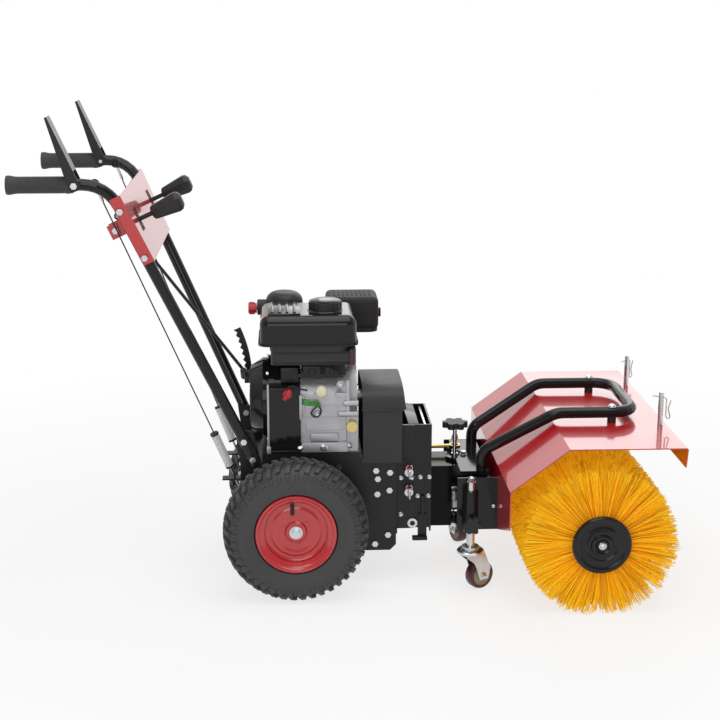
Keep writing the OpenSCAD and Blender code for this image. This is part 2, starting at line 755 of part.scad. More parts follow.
module muffler() color("#2b2b2b") {
    low = tank_z + room;
    rear = tank_rear + tank_len - muffler_lap;
    round_slab([rear, muffler_y, low], [rear + muffler_len, muffler_y + muffler_w, low + muffler_h], muffler_round);
    translate([0, 0, crank_z]) rotate([cylinder_tilt, 0, 0])
        block([case_rear + 60, muffler_y + 52, 54], [case_rear + 90, muffler_y + 72, 94]);
}

module shift_quadrant() color("#2a2a2a") {
    arc_r = 300;
    centre = [shift_foot.x - arc_r - 4, shift_foot.z - 1];
    guide = 10 * unit(shift_foot - shift_top);
    plate_xz(concat([for (a = [0 : 3 : 24]) centre + (arc_r + 9) * [cos(a), sin(a)]],
        [for (a = [24 : -1.5 : 0]) centre + (arc_r - (a % 3 == 0 ? 9 : 3)) * [cos(a), sin(a)]]), quadrant_y, quadrant_y + plate_t);
    difference() {
        strut(shift_foot - guide, shift_foot + guide, shift_d + 9);
        strut(shift_foot - 2 * guide, shift_foot + 2 * guide, shift_d + 2 * run);
    }
    block([bed_rear, quadrant_y, engine_z + seat], [bed_rear + 24, quadrant_y + plate_t, shift_foot.z]);
    block([shift_foot.x - 14, quadrant_y, shift_foot.z - 13],
        [bed_rear + 24, quadrant_y + plate_t, shift_foot.z + 11]);
    block([bed_rear, quadrant_y - 26, engine_z],
        [case_rear - blower_len - room, quadrant_y + plate_t, engine_z + 5]);
}

// Handle
tube_points = [tube_end, splay, corner, tube_tip];
tube_bends = [0, 60, corner_bend, 0];
bore_points = [tube_end - 4 * back, splay, corner, tube_tip - [4, 0, 0]];

module handle_bolt_holes(gap) {
    for (p = [foot, foot_up]) translate([p.x, 0, p.z]) bar_y(side_y - 4, side_y + 2 * tube_d, bolt_d + gap);
    for (s = panel_bolts) translate(handle_point(tube_half(s), s, 0)) bar_y(-tube_d, tube_d, bolt_d + gap);
    translate([pivot_x, grip_y, grip_z]) bar_y(-lever_in, lever_in, pivot_d + 2 * run);
}

module handle_tubes() color("#1a1a1a") both() difference() {
    bent_bar(tube_points, tube_bends, tube_d, tube_sides);
    bent_bar(bore_points, tube_bends, tube_d - 2 * tube_wall, tube_sides);
    handle_bolt_holes(seat);
}

module hand_grips() color("#222222") both() translate([-grip_rear, grip_y, grip_z]) difference() {
    union() {
        bar_x(0, grip_len, grip_d);
        bar_x(0, 10, grip_d + 5);
    }
    bar_x(4 - run, grip_len + over, tube_d + 2 * run);
}

module control_panel() color("#c4171b") {
    flange_in = tube_d / 2 + seat;
    flange_out = flange_in + panel_t;
    flange_deep = 9;
    skew = (grip_y - tube_y) / rise;
    edge = function(s, d) [tube_half(s) + d * sqrt(1 + skew * skew), s];
    slot = 2 * (panel_n - lever_n + panel_t) * tan(lever_tilt) + 20;
    difference() {
        in_handle() {
            difference() {
                translate([0, 0, panel_n]) linear_extrude(panel_t) polygon([
                    edge(panel_low, flange_out), edge(panel_top, flange_out),
                    [-edge(panel_top, flange_out).x, panel_top], [-edge(panel_low, flange_out).x, panel_low]]);
                for (y = [-panel_lever_y, panel_lever_y]) translate([y, lever_s, panel_n])
                    cube([16, slot, 20], center = true);
            }
            for (m = [0, 1]) mirror([m, 0, 0]) {
                translate([0, 0, -flange_deep]) linear_extrude(panel_n + flange_deep + panel_t) polygon([
                    edge(panel_low, flange_in), edge(panel_top, flange_in),
                    edge(panel_top, flange_out), edge(panel_low, flange_out)]);
                for (y = [panel_lever_y - 16 - panel_t, panel_lever_y + 16])
                    block([y, lever_s - 16, lever_n - 14], [y + panel_t, lever_s + 16, panel_n + 1]);
            }
        }
        both() for (s = panel_bolts) translate(handle_point(tube_half(s), s, 0))
            bar_y(-tube_d, 2 * tube_d, bolt_d + seat);
        both() translate(handle_point(panel_lever_y, lever_s, lever_n)) bar_y(-24, 24, pivot_d + 2 * run);
    }
}

module panel_lever(tail) {
    head = panel_lever_len - 68;
    difference() {
        union() {
            rotate([0, 90, 0]) cylinder(d = 20, h = 16, center = true);
            cylinder(d = 10, h = head + 2);
            translate([0, 0, -tail - 6]) cylinder(d = 9, h = tail + 6);
            translate([0, 0, head]) cylinder(d1 = 28, d2 = 42, h = 58);
            translate([0, 0, head + 58]) cylinder(d1 = 42, d2 = 24, h = 10);
        }
        rotate([0, 90, 0]) cylinder(d = pivot_d + 2 * run, h = 40, center = true);
    }
}

module speed_lever() color("#1c1c1c") in_handle() translate([panel_lever_y, lever_s, lever_n]) {
    panel_lever(lever_tail);
    translate([-20, 0, -lever_tail]) rotate([0, 90, 0]) cylinder(d = 5, h = 20);
}
module angle_lever() color("#1c1c1c") in_handle() translate([-panel_lever_y, lever_s, lever_n]) panel_lever(4);

module shift_rod() color("#2d2d2d") difference() {
    union() {
        strut(shift_top, shift_foot + 30 * unit(shift_foot - shift_top), shift_d);
        translate(shift_top) bar_y(-3, 3, 20);
    }
    translate(shift_top) bar_y(-shift_d, shift_d, 12);
}

// Hand levers and cables
module hand_lever() {
    translate([pivot_x, grip_y, grip_z]) {
        difference() {
            rotate([0, -lever_rest, 0]) for (m = [0, 1]) mirror([0, m, 0]) {
                plate_xz([[-12, -12], [hand_lever_len, -12], [hand_lever_len, -7], [18, 11], [-12, 11]],
                    lever_in / 2, lever_in / 2 + lever_wall);
                block([28, 0, -12], [hand_lever_len, lever_in / 2 + 1, -9]);
            }
            bar_y(-lever_in, lever_in, pivot_d + 2 * run);
        }
        arm = [cable_arm * cos(arm_rest), 0, cable_arm * sin(arm_rest)];
        inner = -lever_in / 2 - lever_wall;
        translate([0, inner, 0]) {
            difference() {
                rotate([0, -arm_rest, 0]) block([0, -4, -7], [cable_arm + 6, 0.5, 7]);
                bar_y(-5, 2, pivot_d + 2 * run);
            }
            translate(arm) bar_y(-20, 0, 5);
        }
    }
}
module drive_lever() color("#222222") hand_lever();
module brush_lever() color("#222222") mirror([0, 1, 0]) hand_lever();

// Spring along a cable: one tube of 8 rings to a curl and 6 sides
spring_rings = 8 * spring_curls;
spring_rise = spring_len - spring_wire - 2 * seat;
function spring_point(i) = [spring_d / 2 * cos(45 * i), spring_d / 2 * sin(45 * i),
    spring_wire / 2 + seat + spring_rise * i / spring_rings];
function spring_ring(i) = [for (k = [0 : 5]) spring_point(i) + spring_wire / 2 *
    (cos(60 * k) * [cos(45 * i), sin(45 * i), 0] + sin(60 * k) * [0, 0, 1])];
spring_gap = min([for (i = [0 : spring_rings], j = [i + 5 : 1 : spring_rings])
    norm(spring_point(i) - spring_point(j))]) - spring_wire;
echo(spring_gap = spring_gap);

module spring() polyhedron(
    points = [for (i = [0 : spring_rings]) each spring_ring(i)],
    faces = concat(
        [for (i = [0 : spring_rings - 1], k = [0 : 5]) [6 * i + k, 6 * i + (k + 1) % 6, 6 * i + 6 + k]],
        [for (i = [0 : spring_rings - 1], k = [0 : 5])
            [6 * i + (k + 1) % 6, 6 * i + 6 + (k + 1) % 6, 6 * i + 6 + k]],
        [for (k = [1 : 4]) [0, k + 1, k]],
        [for (k = [1 : 4]) [6 * spring_rings, 6 * spring_rings + k, 6 * spring_rings + k + 1]]));

module cable() {
    difference() {
        translate(cable_top) bar_y(-1.5, 1.5, 22);
        translate(cable_top) bar_y(-2, 2, 15);
    }
    strut(cable_top + 9 * cable_dir, cable_foot, cable_d);
    translate(cable_top) rotate([0, acos(cable_dir.z), atan2(cable_dir.y, cable_dir.x)]) {
        translate([0, 0, spring_top]) cylinder(d = spring_d + 4, h = collar_h);
        translate([0, 0, spring_top + collar_h]) spring();
        translate([0, 0, spring_top + collar_h + spring_len]) cylinder(d = spring_d + 4, h = collar_h);
        translate([0, 0, cable_len - 12]) cylinder(d = 5, h = 72);
    }
}
module drive_cable() color("#d8d8d8") cable();
module brush_cable() color("#d8d8d8") mirror([0, 1, 0]) cable();

// Hitch
module hitch_frame() color("#1b1b1b") difference() {
    union() {
        block([chassis_front, -hitch_side, 112], [chassis_front + hitch_t, hitch_side, deck_z - 4]);
        both() plate_xz([[chassis_front, hitch_bottom], [pin_x + 14, hitch_bottom], [pin_x + 14, hitch_top],
            [cover_rear + cover_len + 3, hitch_top], [cover_rear + cover_len + 3, deck_z - 4],
            [chassis_front, deck_z - 4]], hitch_side - hitch_t, hitch_side);
    }
    translate([0, 0, drive_z]) bar_x(chassis_front - over, chassis_front + 2 * hitch_t, 60);
    both() for (z = pin_zs) translate([pin_x, 0, z]) bar_y(adapter_w / 2 - 9, hitch_side + over, 12 + seat);
}

module adapter_frame() color("#202020") difference() {
    union() {
        both() block([pin_x - 14, adapter_w / 2 - hitch_t, hitch_bottom], [adapter_front, adapter_w / 2, hitch_top]);
        block([adapter_front - hitch_t, -adapter_w / 2, ear_low], [adapter_front, adapter_w / 2, hitch_top]);
        for (z = [ear_low, ear_z - ear_t]) {
            block([adapter_front - over, -ear_half, z], [swivel_x - 12, ear_half, z + ear_t]);
            block([swivel_x - 13, -ear_r, z], [swivel_x, ear_r, z + ear_t]);
            translate([swivel_x, 0, 0]) bar_z(z, z + ear_t, 2 * ear_r);
        }
        both() block([adapter_front - over, ear_half - 4, ear_low + 1], [swivel_x - 12, ear_half, ear_z - 1]);
    }
    translate([0, 0, drive_z]) bar_x(adapter_front - 10, adapter_front + 10, 60);
    translate([swivel_x, 0, 0]) bar_z(ear_low - over, ear_z + over, swivel_d + 2 * run);
    translate([0, angle_rod_y, angle_rod_z]) bar_x(adapter_front - 10, adapter_front + 10, angle_rod_d + 2 * seat);
    both() for (z = pin_zs) translate([pin_x, 0, z]) bar_y(adapter_w / 2 - 9, hitch_side + over, 12 + seat);
}

module hitch_pins() color("#b3201f") both() for (z = pin_zs) translate([pin_x, 0, z]) {
    bar_y(adapter_w / 2 - 16, hitch_side + 6, 12);
    bar_y(hitch_side + seat, hitch_side + 20, 20);
    translate([0, hitch_side + 30, 0]) rotate([0, 90, 0]) rotate_extrude() translate([12, 0]) circle(d = 4);
}

module angle_rod() color("#c9a23a") translate([0, angle_rod_y, angle_rod_z]) {
    bar_x(adapter_front - 30, swivel_x - 6, angle_rod_d);
    translate([swivel_x + 5, 0, 0]) difference() {
        bar_z(-4, 4, 28);
        bar_z(-5, 5, 18.5);
    }
}

module machine_bolts() color("#c9ccd0") {
    both() {
        for (p = side_bolt_places) translate([p.x, 0, p.y]) {
            hex_y(side_y, side_y + bolt_head_h, bolt_head);
            bar_y(side_y - 2 * plate_t, side_y + 1, bolt_d);
        }
        for (p = [foot, foot_up]) translate([p.x, 0, p.z]) {
            hex_y(side_y + tube_d, side_y + tube_d + bolt_head_h, bolt_head);
            bar_y(side_y - plate_t, side_y + tube_d + 1, bolt_d);
            hex_y(side_y - plate_t - bolt_head_h, side_y - plate_t, bolt_head);
        }
        for (s = panel_bolts) translate(handle_point(tube_half(s), s, 0)) {
            hex_y(tube_d / 2 + panel_t + 3, tube_d / 2 + panel_t + 3 + bolt_head_h, bolt_head);
            bar_y(-tube_d / 2 - 3, tube_d / 2 + panel_t + 4, bolt_d);
        }
        translate([pivot_x, grip_y, grip_z]) {
            bar_y(-lever_in / 2 - 8, lever_in / 2 + 4, pivot_d);
            hex_y(lever_in / 2 + lever_wall + seat, lever_in / 2 + 9, bolt_head);
        }
        translate(handle_point(panel_lever_y, lever_s, lever_n)) {
            bar_y(-20, 20, pivot_d);
            hex_y(16 + panel_t + seat, 24, bolt_head);
        }
    }
    translate([swivel_x, 0, 0]) {
        difference() {
            bar_z(ear_z - ear_t - 8, head_plate_z + head_plate_t + 6, swivel_d);
            bar_z(ear_z - ear_t, head_plate_z + head_plate_t + 7, 10 + 2 * run);
        }
        bar_z(head_low_z - 4, ear_low + ear_t + 6, swivel_d);
    }
}

// Brush drive line
module drive_shaft() color("#8d9095") translate([0, 0, drive_z]) {
    bar_x(brush_belt_x - 3, swivel_x - ball_r - 6, drive_d);
    bar_x(swivel_x - ball_r - 7, swivel_x, neck_d);
    translate([swivel_x, 0, 0]) sphere(r = ball_r);
    translate([brush_belt_x, 0, 0]) pulley(brush_pulley_d, drive_d - 1);
}

module input_shaft() color("#7f8287") translate([0, 0, drive_z]) {
    cup_r = ball_r + 0.4;
    translate([swivel_x, 0, 0]) rotate([0, 90, 0]) rotate_extrude() difference() {
        intersection() {
            circle(r = cup_r + cup_t);
            translate([0, -40]) square([40, 80]);
            polygon([[0, 40], [40, 40], [40, -40 / tan(cup_mouth)], [0, 0]]);
        }
        circle(r = cup_r);
    }
    bar_x(swivel_x + cup_r + 1, brush_x - 2 * pinion_r + 1, input_d);
    translate([brush_x - 2 * pinion_r, 0, 0]) rotate([0, 90, 0]) cylinder(r1 = pinion_r - 0.6, r2 = 7, h = 19);
}

module gearbox_case() color("#1f1f1f") difference() {
    union() {
        translate([brush_x, 0, brush_z]) bar_y(-case_half, case_half, case_d);
        translate([0, 0, drive_z]) {
            bar_x(head_wall_x + head_plate_t, brush_x - case_d / 2 + 8, torque_d);
            bar_x(head_wall_x + head_plate_t, head_wall_x + head_plate_t + 8, torque_d + 34);
        }
    }
    translate([brush_x, 0, brush_z]) {
        bar_y(case_wall - case_half, case_half - case_wall, case_d - 2 * case_wall);
        bar_y(-case_half - over, case_half + over, spindle_d + 2 * run);
    }
    translate([0, 0, drive_z]) {
        bar_x(head_wall_x, brush_x - case_d / 2 - 30, torque_bore);
        bar_x(head_wall_x, brush_x - case_d / 2 + 10, input_d + 2 * run);
    }
}

module brush_spindle() color("#26282b") translate([brush_x, 0, brush_z]) {
    half = brush_w / 2;
    bar_y(-half - 4, half + 4, spindle_d);
    translate([0, 17, 0]) rotate([-90, 0, 0]) cylinder(r = gear_r, h = 8);
    translate([0, 8, 0]) rotate([-90, 0, 0]) cylinder(r1 = 16, r2 = gear_r - 0.6, h = 9.5);
    both() difference() {
        union() {
            bar_y(half_start, half - end_disc_t, core_d);
            bar_y(half - end_disc_t, half, end_disc_d);
        }
        bar_y(half_start + 6, half - end_disc_t - 6, core_d - 2 * core_wall);
        bar_y(half_start - over, half + over, spindle_d + 2 * run);
    }
}

// Bristles: rings of square strands on a backing sleeve, cut level where they meet the ground
function strand_reach(a) = let (down = abs(180 - a), slope = min(down, 80))
    min(brush_d / 2, (brush_z - 0.5) / cos(slope) - strand_w / 2 * tan(slope));
module bristles() translate([brush_x, 0, brush_z]) {
    start = half_start + 1;
    stop = brush_w / 2 - end_disc_t - 0.5;
    pitch = (stop - start) / strand_rings;
    root = core_d / 2 + 2;
    difference() {
        bar_y(start, stop, core_d + 2 * sleeve_t);
        bar_y(start - over, stop + over, core_d + 2 * run);
    }
    for (r = [0 : strand_rings - 1], k = [0 : strand_count - 1]) {
        a = (k + (r % 3) / 3) * 360 / strand_count;
        rotate([0, a, 0]) translate([-strand_w / 2, start + (r + 0.5) * pitch - strand_w / 2, root])
            cube([strand_w, strand_w, strand_reach(a) - root]);
    }
}
module bristles_left() color("#f5a400") bristles();
module bristles_right() color("#f5a400") mirror([0, 1, 0]) bristles();

// Brush head
module head_frame() color("#1f1f1f") difference() {
    union() {
        block([swivel_x, -head_half, head_plate_z], [head_wall_x + head_plate_t, head_half, head_plate_z + head_plate_t]);
        block([swivel_x, -ear_r - 4, head_low_z], [head_wall_x + head_plate_t, ear_r + 4, head_low_z + head_plate_t]);
        for (z = [head_plate_z, head_low_z]) translate([swivel_x, 0, 0]) bar_z(z, z + head_plate_t, 2 * ear_r - 8);
        block([head_wall_x, -wing_y, wing_low], [head_wall_x + head_plate_t, wing_y, wing_top]);
        block([head_wall_x, -head_half, wing_low], [head_wall_x + head_plate_t, head_half, head_plate_z + 1]);
        block([head_wall_x, -ear_r - 4, head_low_z], [head_wall_x + head_plate_t, ear_r + 4, wing_low + 1]);
        both() {
            block([caster_x - 30, wing_y - plate_t, wing_low], [skirt_x, wing_y, wing_top]);
            translate([caster_x, caster_y, 0]) bar_z(sleeve_low, sleeve_low + sleeve_h, sleeve_d);
            block([caster_x - 8, wing_y - 1, sleeve_low], [caster_x + 8, caster_y, sleeve_low + sleeve_h]);
        }
        translate([swivel_x + 5, angle_rod_y, 0]) bar_z(head_plate_z, angle_rod_z + 6, 8);
    }
    translate([swivel_x, 0, 0]) bar_z(0, 2 * ear_z, swivel_d + 2 * run);
    translate([0, 0, drive_z]) bar_x(head_wall_x - over, head_wall_x + 2 * head_plate_t, torque_bore);
    both() translate([caster_x, caster_y, 0]) {
        bar_z(0, 400, stem_d + 2 * run);
        translate([0, 0, sleeve_low + 24]) bar_y(0, 60, 8 + 2 * run);
    }
}

guard_rise_x = 596;
guard_base_y = 96;
guard_foot_x = 724;
guard_points = [[head_wall_x - 8, guard_base_y, head_plate_z + head_plate_t],
    [head_wall_x - 8, guard_base_y, head_plate_z + head_plate_t + 40], [guard_rise_x, guard_y, guard_z],
    [guard_front, guard_y, guard_z], [guard_front, -guard_y, guard_z], [guard_rise_x, -guard_y, guard_z],
    [head_wall_x - 8, -guard_base_y, head_plate_z + head_plate_t + 40],
    [head_wall_x - 8, -guard_base_y, head_plate_z + head_plate_t]];
guard_bends = [0, 36, 60, 50, 50, 60, 36, 0];

module guard_bar() color("#1d1d1d") {
    bent_bar(guard_points, guard_bends, guard_d, tube_sides);
    both() translate([guard_foot_x, guard_y, 0]) bar_z(hood_z, guard_z - guard_d / 2 + 3, 20);
}

// Hood: one folded sheet from the rear skirt over the brush to the front lip
skirt_top = 280;
hood_ridge_x = 590;
hood_line = [[skirt_x, skirt_top], [skirt_x, skirt_top + 13], [hood_ridge_x, hood_z], [hood_front - 3, hood_z - 1], [hood_front, hood_z - 5],
    [hood_front - 3, hood_z - 45]];
function normal(p, q) = let (d = unit(q - p)) [d.y, -d.x];
function inset(pts, i) = i == 0 ? pts[0] + hood_t * normal(pts[0], pts[1])
    : i == len(pts) - 1 ? pts[i] + hood_t * normal(pts[i - 1], pts[i])
    : let (a = normal(pts[i - 1], pts[i]), b = normal(pts[i], pts[i + 1]))
        pts[i] + hood_t * (a + b) / (1 + a * b);

module at_clip() translate([hood_front - 22, post_y, hood_z + post_h - 12]) rotate(-clip_turn) children();

module hood() color("#d1161b") difference() {
    union() {
        n = len(hood_line) - 1;
        plate_xz(concat(hood_line, [for (i = [n : -1 : 0]) inset(hood_line, i)]), -hood_w / 2, hood_w / 2);
        plate_yz(skirt_x, skirt_x + hood_t) polygon([[-hood_w / 2, 282], [-hood_w / 2, 205], [-wing_y, 140],
            [wing_y, 140], [hood_w / 2, 205], [hood_w / 2, 282]]);
        both() translate([hood_front - 22, post_y, 0]) {
            bar_z(hood_z - 3, hood_z + post_h - post_tip, post_d);
            bar_z(hood_z + post_h - post_tip - 1, hood_z + post_h, post_d - 1);
        }
    }
    block([skirt_x - over, -torque_d / 2 - 3, 100], [skirt_x + 2 * hood_t, torque_d / 2 + 3, drive_z + torque_d / 2 + 3]);
    both() at_clip() bar_y(-20, 20, clip_d + 2 * seat);
}

module clip() at_clip() {
    near = post_d / 2 + 7;
    leg = [[0, -post_d / 2 - 14, 0], [0, near, 0], [0, near, -46], [0, near + 11, -46], [0, near + 5, -24],
        [0, near + 11, -4]];
    bent_bar(leg, [0, 5, 4.5, 4, 6, 0], clip_d, 10);
}
module clip_left() color("#c8cbd0") clip();
module clip_right() color("#c8cbd0") mirror([0, 1, 0]) clip();

// Casters
module at_caster(s) side(s) translate([caster_x, caster_y, 0]) children();

module caster_stem(s) at_caster(s) {
    bar_z(fork_z + fork_t + 8 + seat, stem_top, stem_d);
    bar_z(stem_top - 1, stem_top + 8, 10);
    bar_z(fork_z + fork_t + seat, fork_z + fork_t + 8.5, 40);
    bar_z(fork_z - 3, fork_z + fork_t + 8, 10);
}
module caster_stem_right() color("#c3c6ca") caster_stem(-1);
module caster_stem_left() color("#c3c6ca") caster_stem(1);

module caster_fork(s) at_caster(s) rotate(caster_turn[s < 0 ? 0 : 1]) {
    inside = caster_w / 2 + 1.5;
    difference() {
        union() {
            bar_z(fork_z, fork_z + fork_t, 59);
            for (m = [0, 1]) mirror([0, m, 0]) plate_xz([[-20, fork_z + 4], [27, fork_z + 4],
                [caster_trail + 20, caster_d / 2 + 18], [caster_trail + 13, caster_d / 2 - 9],
                [caster_trail - 10, caster_d / 2 - 9], [2, fork_z - 24], [-20, fork_z - 6]], inside, inside + leg_t);
            translate([caster_trail, 0, caster_d / 2]) bar_y(-inside - leg_t - 4, inside + leg_t + 4, 10);
        }
        bar_z(fork_z - over, fork_z + fork_t + over, 10 + 2 * run);
    }
}
module caster_fork_right() color("#bfc2c6") caster_fork(-1);
module caster_fork_left() color("#bfc2c6") caster_fork(1);

module caster_wheel(s) at_caster(s) rotate(caster_turn[s < 0 ? 0 : 1])
    translate([caster_trail, 0, caster_d / 2]) about_y() {
    r = 5;
    half = caster_w / 2;
    translate([5 + run, -half]) square([caster_d / 2 - r - 5 - run, caster_w]);
    translate([5 + run, r - half]) square([caster_d / 2 - 5 - run, caster_w - 2 * r]);
    for (y = [half - r, r - half]) translate([caster_d / 2 - r, y]) circle(r = r);
}
module caster_wheel_right() color("#5b1c22") caster_wheel(-1);
module caster_wheel_left() color("#5b1c22") caster_wheel(1);

module caster_knob(s) at_caster(s) translate([0, 0, sleeve_low + 24]) rotate([-90, 0, 0]) {
    translate([0, 0, stem_d / 2 + 0.4]) cylinder(d = 8, h = sleeve_d / 2 - stem_d / 2 + 3);
    translate([0, 0, sleeve_d / 2 + 2]) lobed_knob(42, 16, 6);
}
module caster_knob_right() color("#303030") caster_knob(-1);
module caster_knob_left() color("#303030") caster_knob(1);

module lock_knob() color("#202020") translate([swivel_x, 0, 0]) {
    bar_z(ear_z - ear_t + 1, 346, 10);
    translate([0, 0, 342]) lobed_knob(60, 14, 6);
}

module placed() translate([-middle_x, 0, 0]) children();

placed() side_plates();
placed() chassis_tray();
placed() engine_bed();
placed() axle_bearings();
placed() crankcase();
placed() blower_housing();
placed() recoil_cover();
placed() engine_shroud();
placed() fuel_tank();
placed() air_filter();
placed() muffler();
placed() belt_cover();
placed() hitch_frame();
placed() adapter_frame();
placed() hitch_pins();
placed() handle_tubes();
placed() hand_grips();
placed() control_panel();
placed() drive_belts();
placed() shift_quadrant();
placed() machine_bolts();
placed() drive_axle();
placed() rims();
placed() tyres();
placed() crankshaft();
placed() drive_shaft();
placed() drive_disc();
placed() friction_shaft();
placed() head_frame();
placed() guard_bar();
placed() hood();
placed() gearbox_case();
placed() input_shaft();
placed() brush_spindle();
placed() bristles_right();
placed() bristles_left();
placed() caster_stem_right();
placed() caster_stem_left();
placed() caster_fork_right();
placed() caster_fork_left();
placed() caster_wheel_right();
placed() caster_wheel_left();
placed() caster_knob_right();
placed() caster_knob_left();
placed() lock_knob();
placed() drive_lever();
placed() brush_lever();
placed() drive_cable();
placed() brush_cable();
placed() speed_lever();
placed() angle_lever();
placed() shift_rod();
placed() fuel_cap();
placed() oil_plug();
placed() engine_switch();
placed() choke_knob();
placed() starter_grip();
placed() clip_right();
placed() clip_left();
placed() angle_rod();
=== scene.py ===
# %% [markdown]
# # A walk-behind power brush
# The machine's working solids come ready made, in metres, with +X forward and +Z up. This lesson
# loads them as a fixed frame, gives each one its real finish, and adds what solids alone don't show:
# thousands of bristles, tyre lugs, rolled rims, castings, wires and fasteners.
# Loading comes first, because every added piece rides on one of the frame's moving bodies.

# %% Load the frame
import json
import math

import bmesh
import bpy
import numpy as np
from mathutils import Matrix, Vector


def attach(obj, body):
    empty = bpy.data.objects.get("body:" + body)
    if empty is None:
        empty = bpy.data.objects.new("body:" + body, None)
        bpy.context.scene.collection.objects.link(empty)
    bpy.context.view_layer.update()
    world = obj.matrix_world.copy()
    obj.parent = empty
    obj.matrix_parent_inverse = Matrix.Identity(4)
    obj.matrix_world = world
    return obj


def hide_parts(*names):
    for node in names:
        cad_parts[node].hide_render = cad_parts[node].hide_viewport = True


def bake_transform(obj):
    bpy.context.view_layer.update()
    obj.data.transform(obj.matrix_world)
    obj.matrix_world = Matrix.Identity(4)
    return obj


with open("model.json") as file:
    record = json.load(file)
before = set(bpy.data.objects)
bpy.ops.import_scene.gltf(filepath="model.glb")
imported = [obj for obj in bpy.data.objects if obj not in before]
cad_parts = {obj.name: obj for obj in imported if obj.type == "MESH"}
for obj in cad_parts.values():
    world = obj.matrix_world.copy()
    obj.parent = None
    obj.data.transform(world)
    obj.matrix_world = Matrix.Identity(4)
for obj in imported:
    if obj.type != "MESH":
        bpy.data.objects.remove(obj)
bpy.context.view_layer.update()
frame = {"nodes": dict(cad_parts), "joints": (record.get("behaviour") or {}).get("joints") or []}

# %% [markdown]
# Places in this lesson are millimetres measured from the wheel axle, straight above the ground, which
# is how the machine was measured. The frame's origin lies under the middle of the machine, so one
# small function carries a place over.

# %% Places
AXLE_TO_MIDDLE = 126.5
AXLE_Z = 165


def at(place):
    x, y, z = place
    return Vector((x - AXLE_TO_MIDDLE, y, z)) / 1000


print("wheel axle at", at((0, 0, AXLE_Z)))

# %% [markdown]
# The camera stands on the right-hand side, a little above the handlebars, and looks slightly down. It
# could be aimed at a target, but its turn was solved from the machine's own edges, so the angles are
# written straight in.

# %% Camera
camera = bpy.data.objects.new("camera", bpy.data.cameras.new("camera"))
camera.location = at((-16, -3301, 1337.3))
camera.rotation_euler = (math.radians(90 - 14.08), 0, math.radians(-2.96))
camera.data.lens = 72.99
camera.data.sensor_width = 36
bpy.context.scene.collection.objects.link(camera)
bpy.context.scene.camera = camera
bpy.context.scene.view_settings.view_transform = "Standard"
print("camera", camera.location)

# %% [markdown]
# A finish is a small network of nodes. Drawing it by hand is fine for one material; for a dozen it is
# easier to write sums. This class wraps a socket, so that `1 - mask * 0.3` adds the Math nodes itself,
# and one method makes every other node from its type, settings and sockets.

# %% Sockets that do sums
class Wire:
    def __init__(self, tree, socket):
        self.tree = tree
        self.socket = socket

    def node(self, kind, settings=None, sockets=None, out=0):
        made = self.tree.nodes.new(kind)
        for key, value in (settings or {}).items():
            if key == "stops":
                ramp = made.color_ramp.elements
                while len(ramp) < len(value):
                    ramp.new(0.5)
                for stop, (place, colour) in zip(ramp, value):
                    stop.position = place
                    stop.color = (*colour, 1)
            else:
                setattr(made, key, value)
        for key, value in (sockets or {}).items():
            if isinstance(value, Wire):
                self.tree.links.new(value.socket, made.inputs[key])
            else:
                made.inputs[key].default_value = value
        return Wire(self.tree, made.outputs[out])

    def sum(self, operation, *terms):
        return self.node("ShaderNodeMath", {"operation": operation}, dict(enumerate(terms)))

    def mix(self, low, high):
        colours = {6: low, 7: high}
        sockets = {k: c if isinstance(c, Wire) else (*c, 1) for k, c in colours.items()}
        return self.node("ShaderNodeMix", {"data_type": "RGBA"}, {0: self, **sockets}, 2)

    def ramp(self, *stops):
        return self.node("ShaderNodeValToRGB", {"stops": stops}, {0: self})

    def noise(self, scale, detail=3.0):
        return self.node("ShaderNodeTexNoise", None, {"Vector": self, "Scale": scale, "Detail": detail})

    def axes(self):
        return [self.node("ShaderNodeSeparateXYZ", None, {0: self}, k) for k in range(3)]

    def root(self):
        return self.sum("SQRT", self)

    def wave(self):
        return self.sum("SINE", self)

    def __add__(self, other):
        return self.sum("ADD", self, other)

    def __sub__(self, other):
        return self.sum("SUBTRACT", self, other)

    def __rsub__(self, other):
        return self.sum("SUBTRACT", other, self)

    def __mul__(self, other):
        return self.sum("MULTIPLY", self, other)

    def __truediv__(self, other):
        return self.sum("DIVIDE", self, other)

    def __gt__(self, other):
        return self.sum("GREATER_THAN", self, other)

    __radd__ = __add__
    __rmul__ = __mul__


class Finish:
    """A Principled surface whose sockets take colours, numbers or wires."""

    def __init__(self, name, **sockets):
        self.material = bpy.data.materials.new(name)
        self.material.use_nodes = True
        self.tree = self.material.node_tree
        self.shader = self.tree.nodes["Principled BSDF"]
        self.place = Wire(self.tree, None).node("ShaderNodeTexCoord", out="Object")
        self.feed(**sockets)

    def feed(self, **sockets):
        for key, value in sockets.items():
            target = self.shader.inputs[key.replace("_", " ").title().replace("Ior", "IOR")]
            if isinstance(value, Wire):
                self.tree.links.new(value.socket, target)
            else:
                target.default_value = (*value, 1) if isinstance(value, tuple) else value
        return self

    def raised(self, height, strength, depth=0.001):
        sockets = {"Strength": strength, "Distance": depth, "Height": height}
        return self.feed(normal=height.node("ShaderNodeBump", None, sockets))


print("socket sums ready")

# %% [markdown]
# Most of the machine is powder-coated black steel. Powder leaves a fine orange peel that breaks up
# reflections, and handling leaves dull patches. Two noises do both: a fine one raises the surface, and
# a broad one drifts the colour and the roughness. Plastics, paints and metals differ only in numbers,
# so one function serves them.

# %% Plain finishes
def coated(name, colour, other, rough, metal=0.0, shine=0.5, grain=700.0, peel=0.08, patch=14.0,
           drift=0.16):
    """A finish that drifts between two colours, with dull patches and a fine raised grain."""
    made = Finish(name, metallic=metal, specular_ior_level=shine)
    broad = made.place.noise(patch, 5.0)
    fine = made.place.noise(grain, 2.0)
    dullness = rough + (broad - 0.5) * drift + (fine - 0.5) * 0.08
    made.feed(base_color=broad.mix(colour, other), roughness=dullness)
    return made.raised(fine, peel)


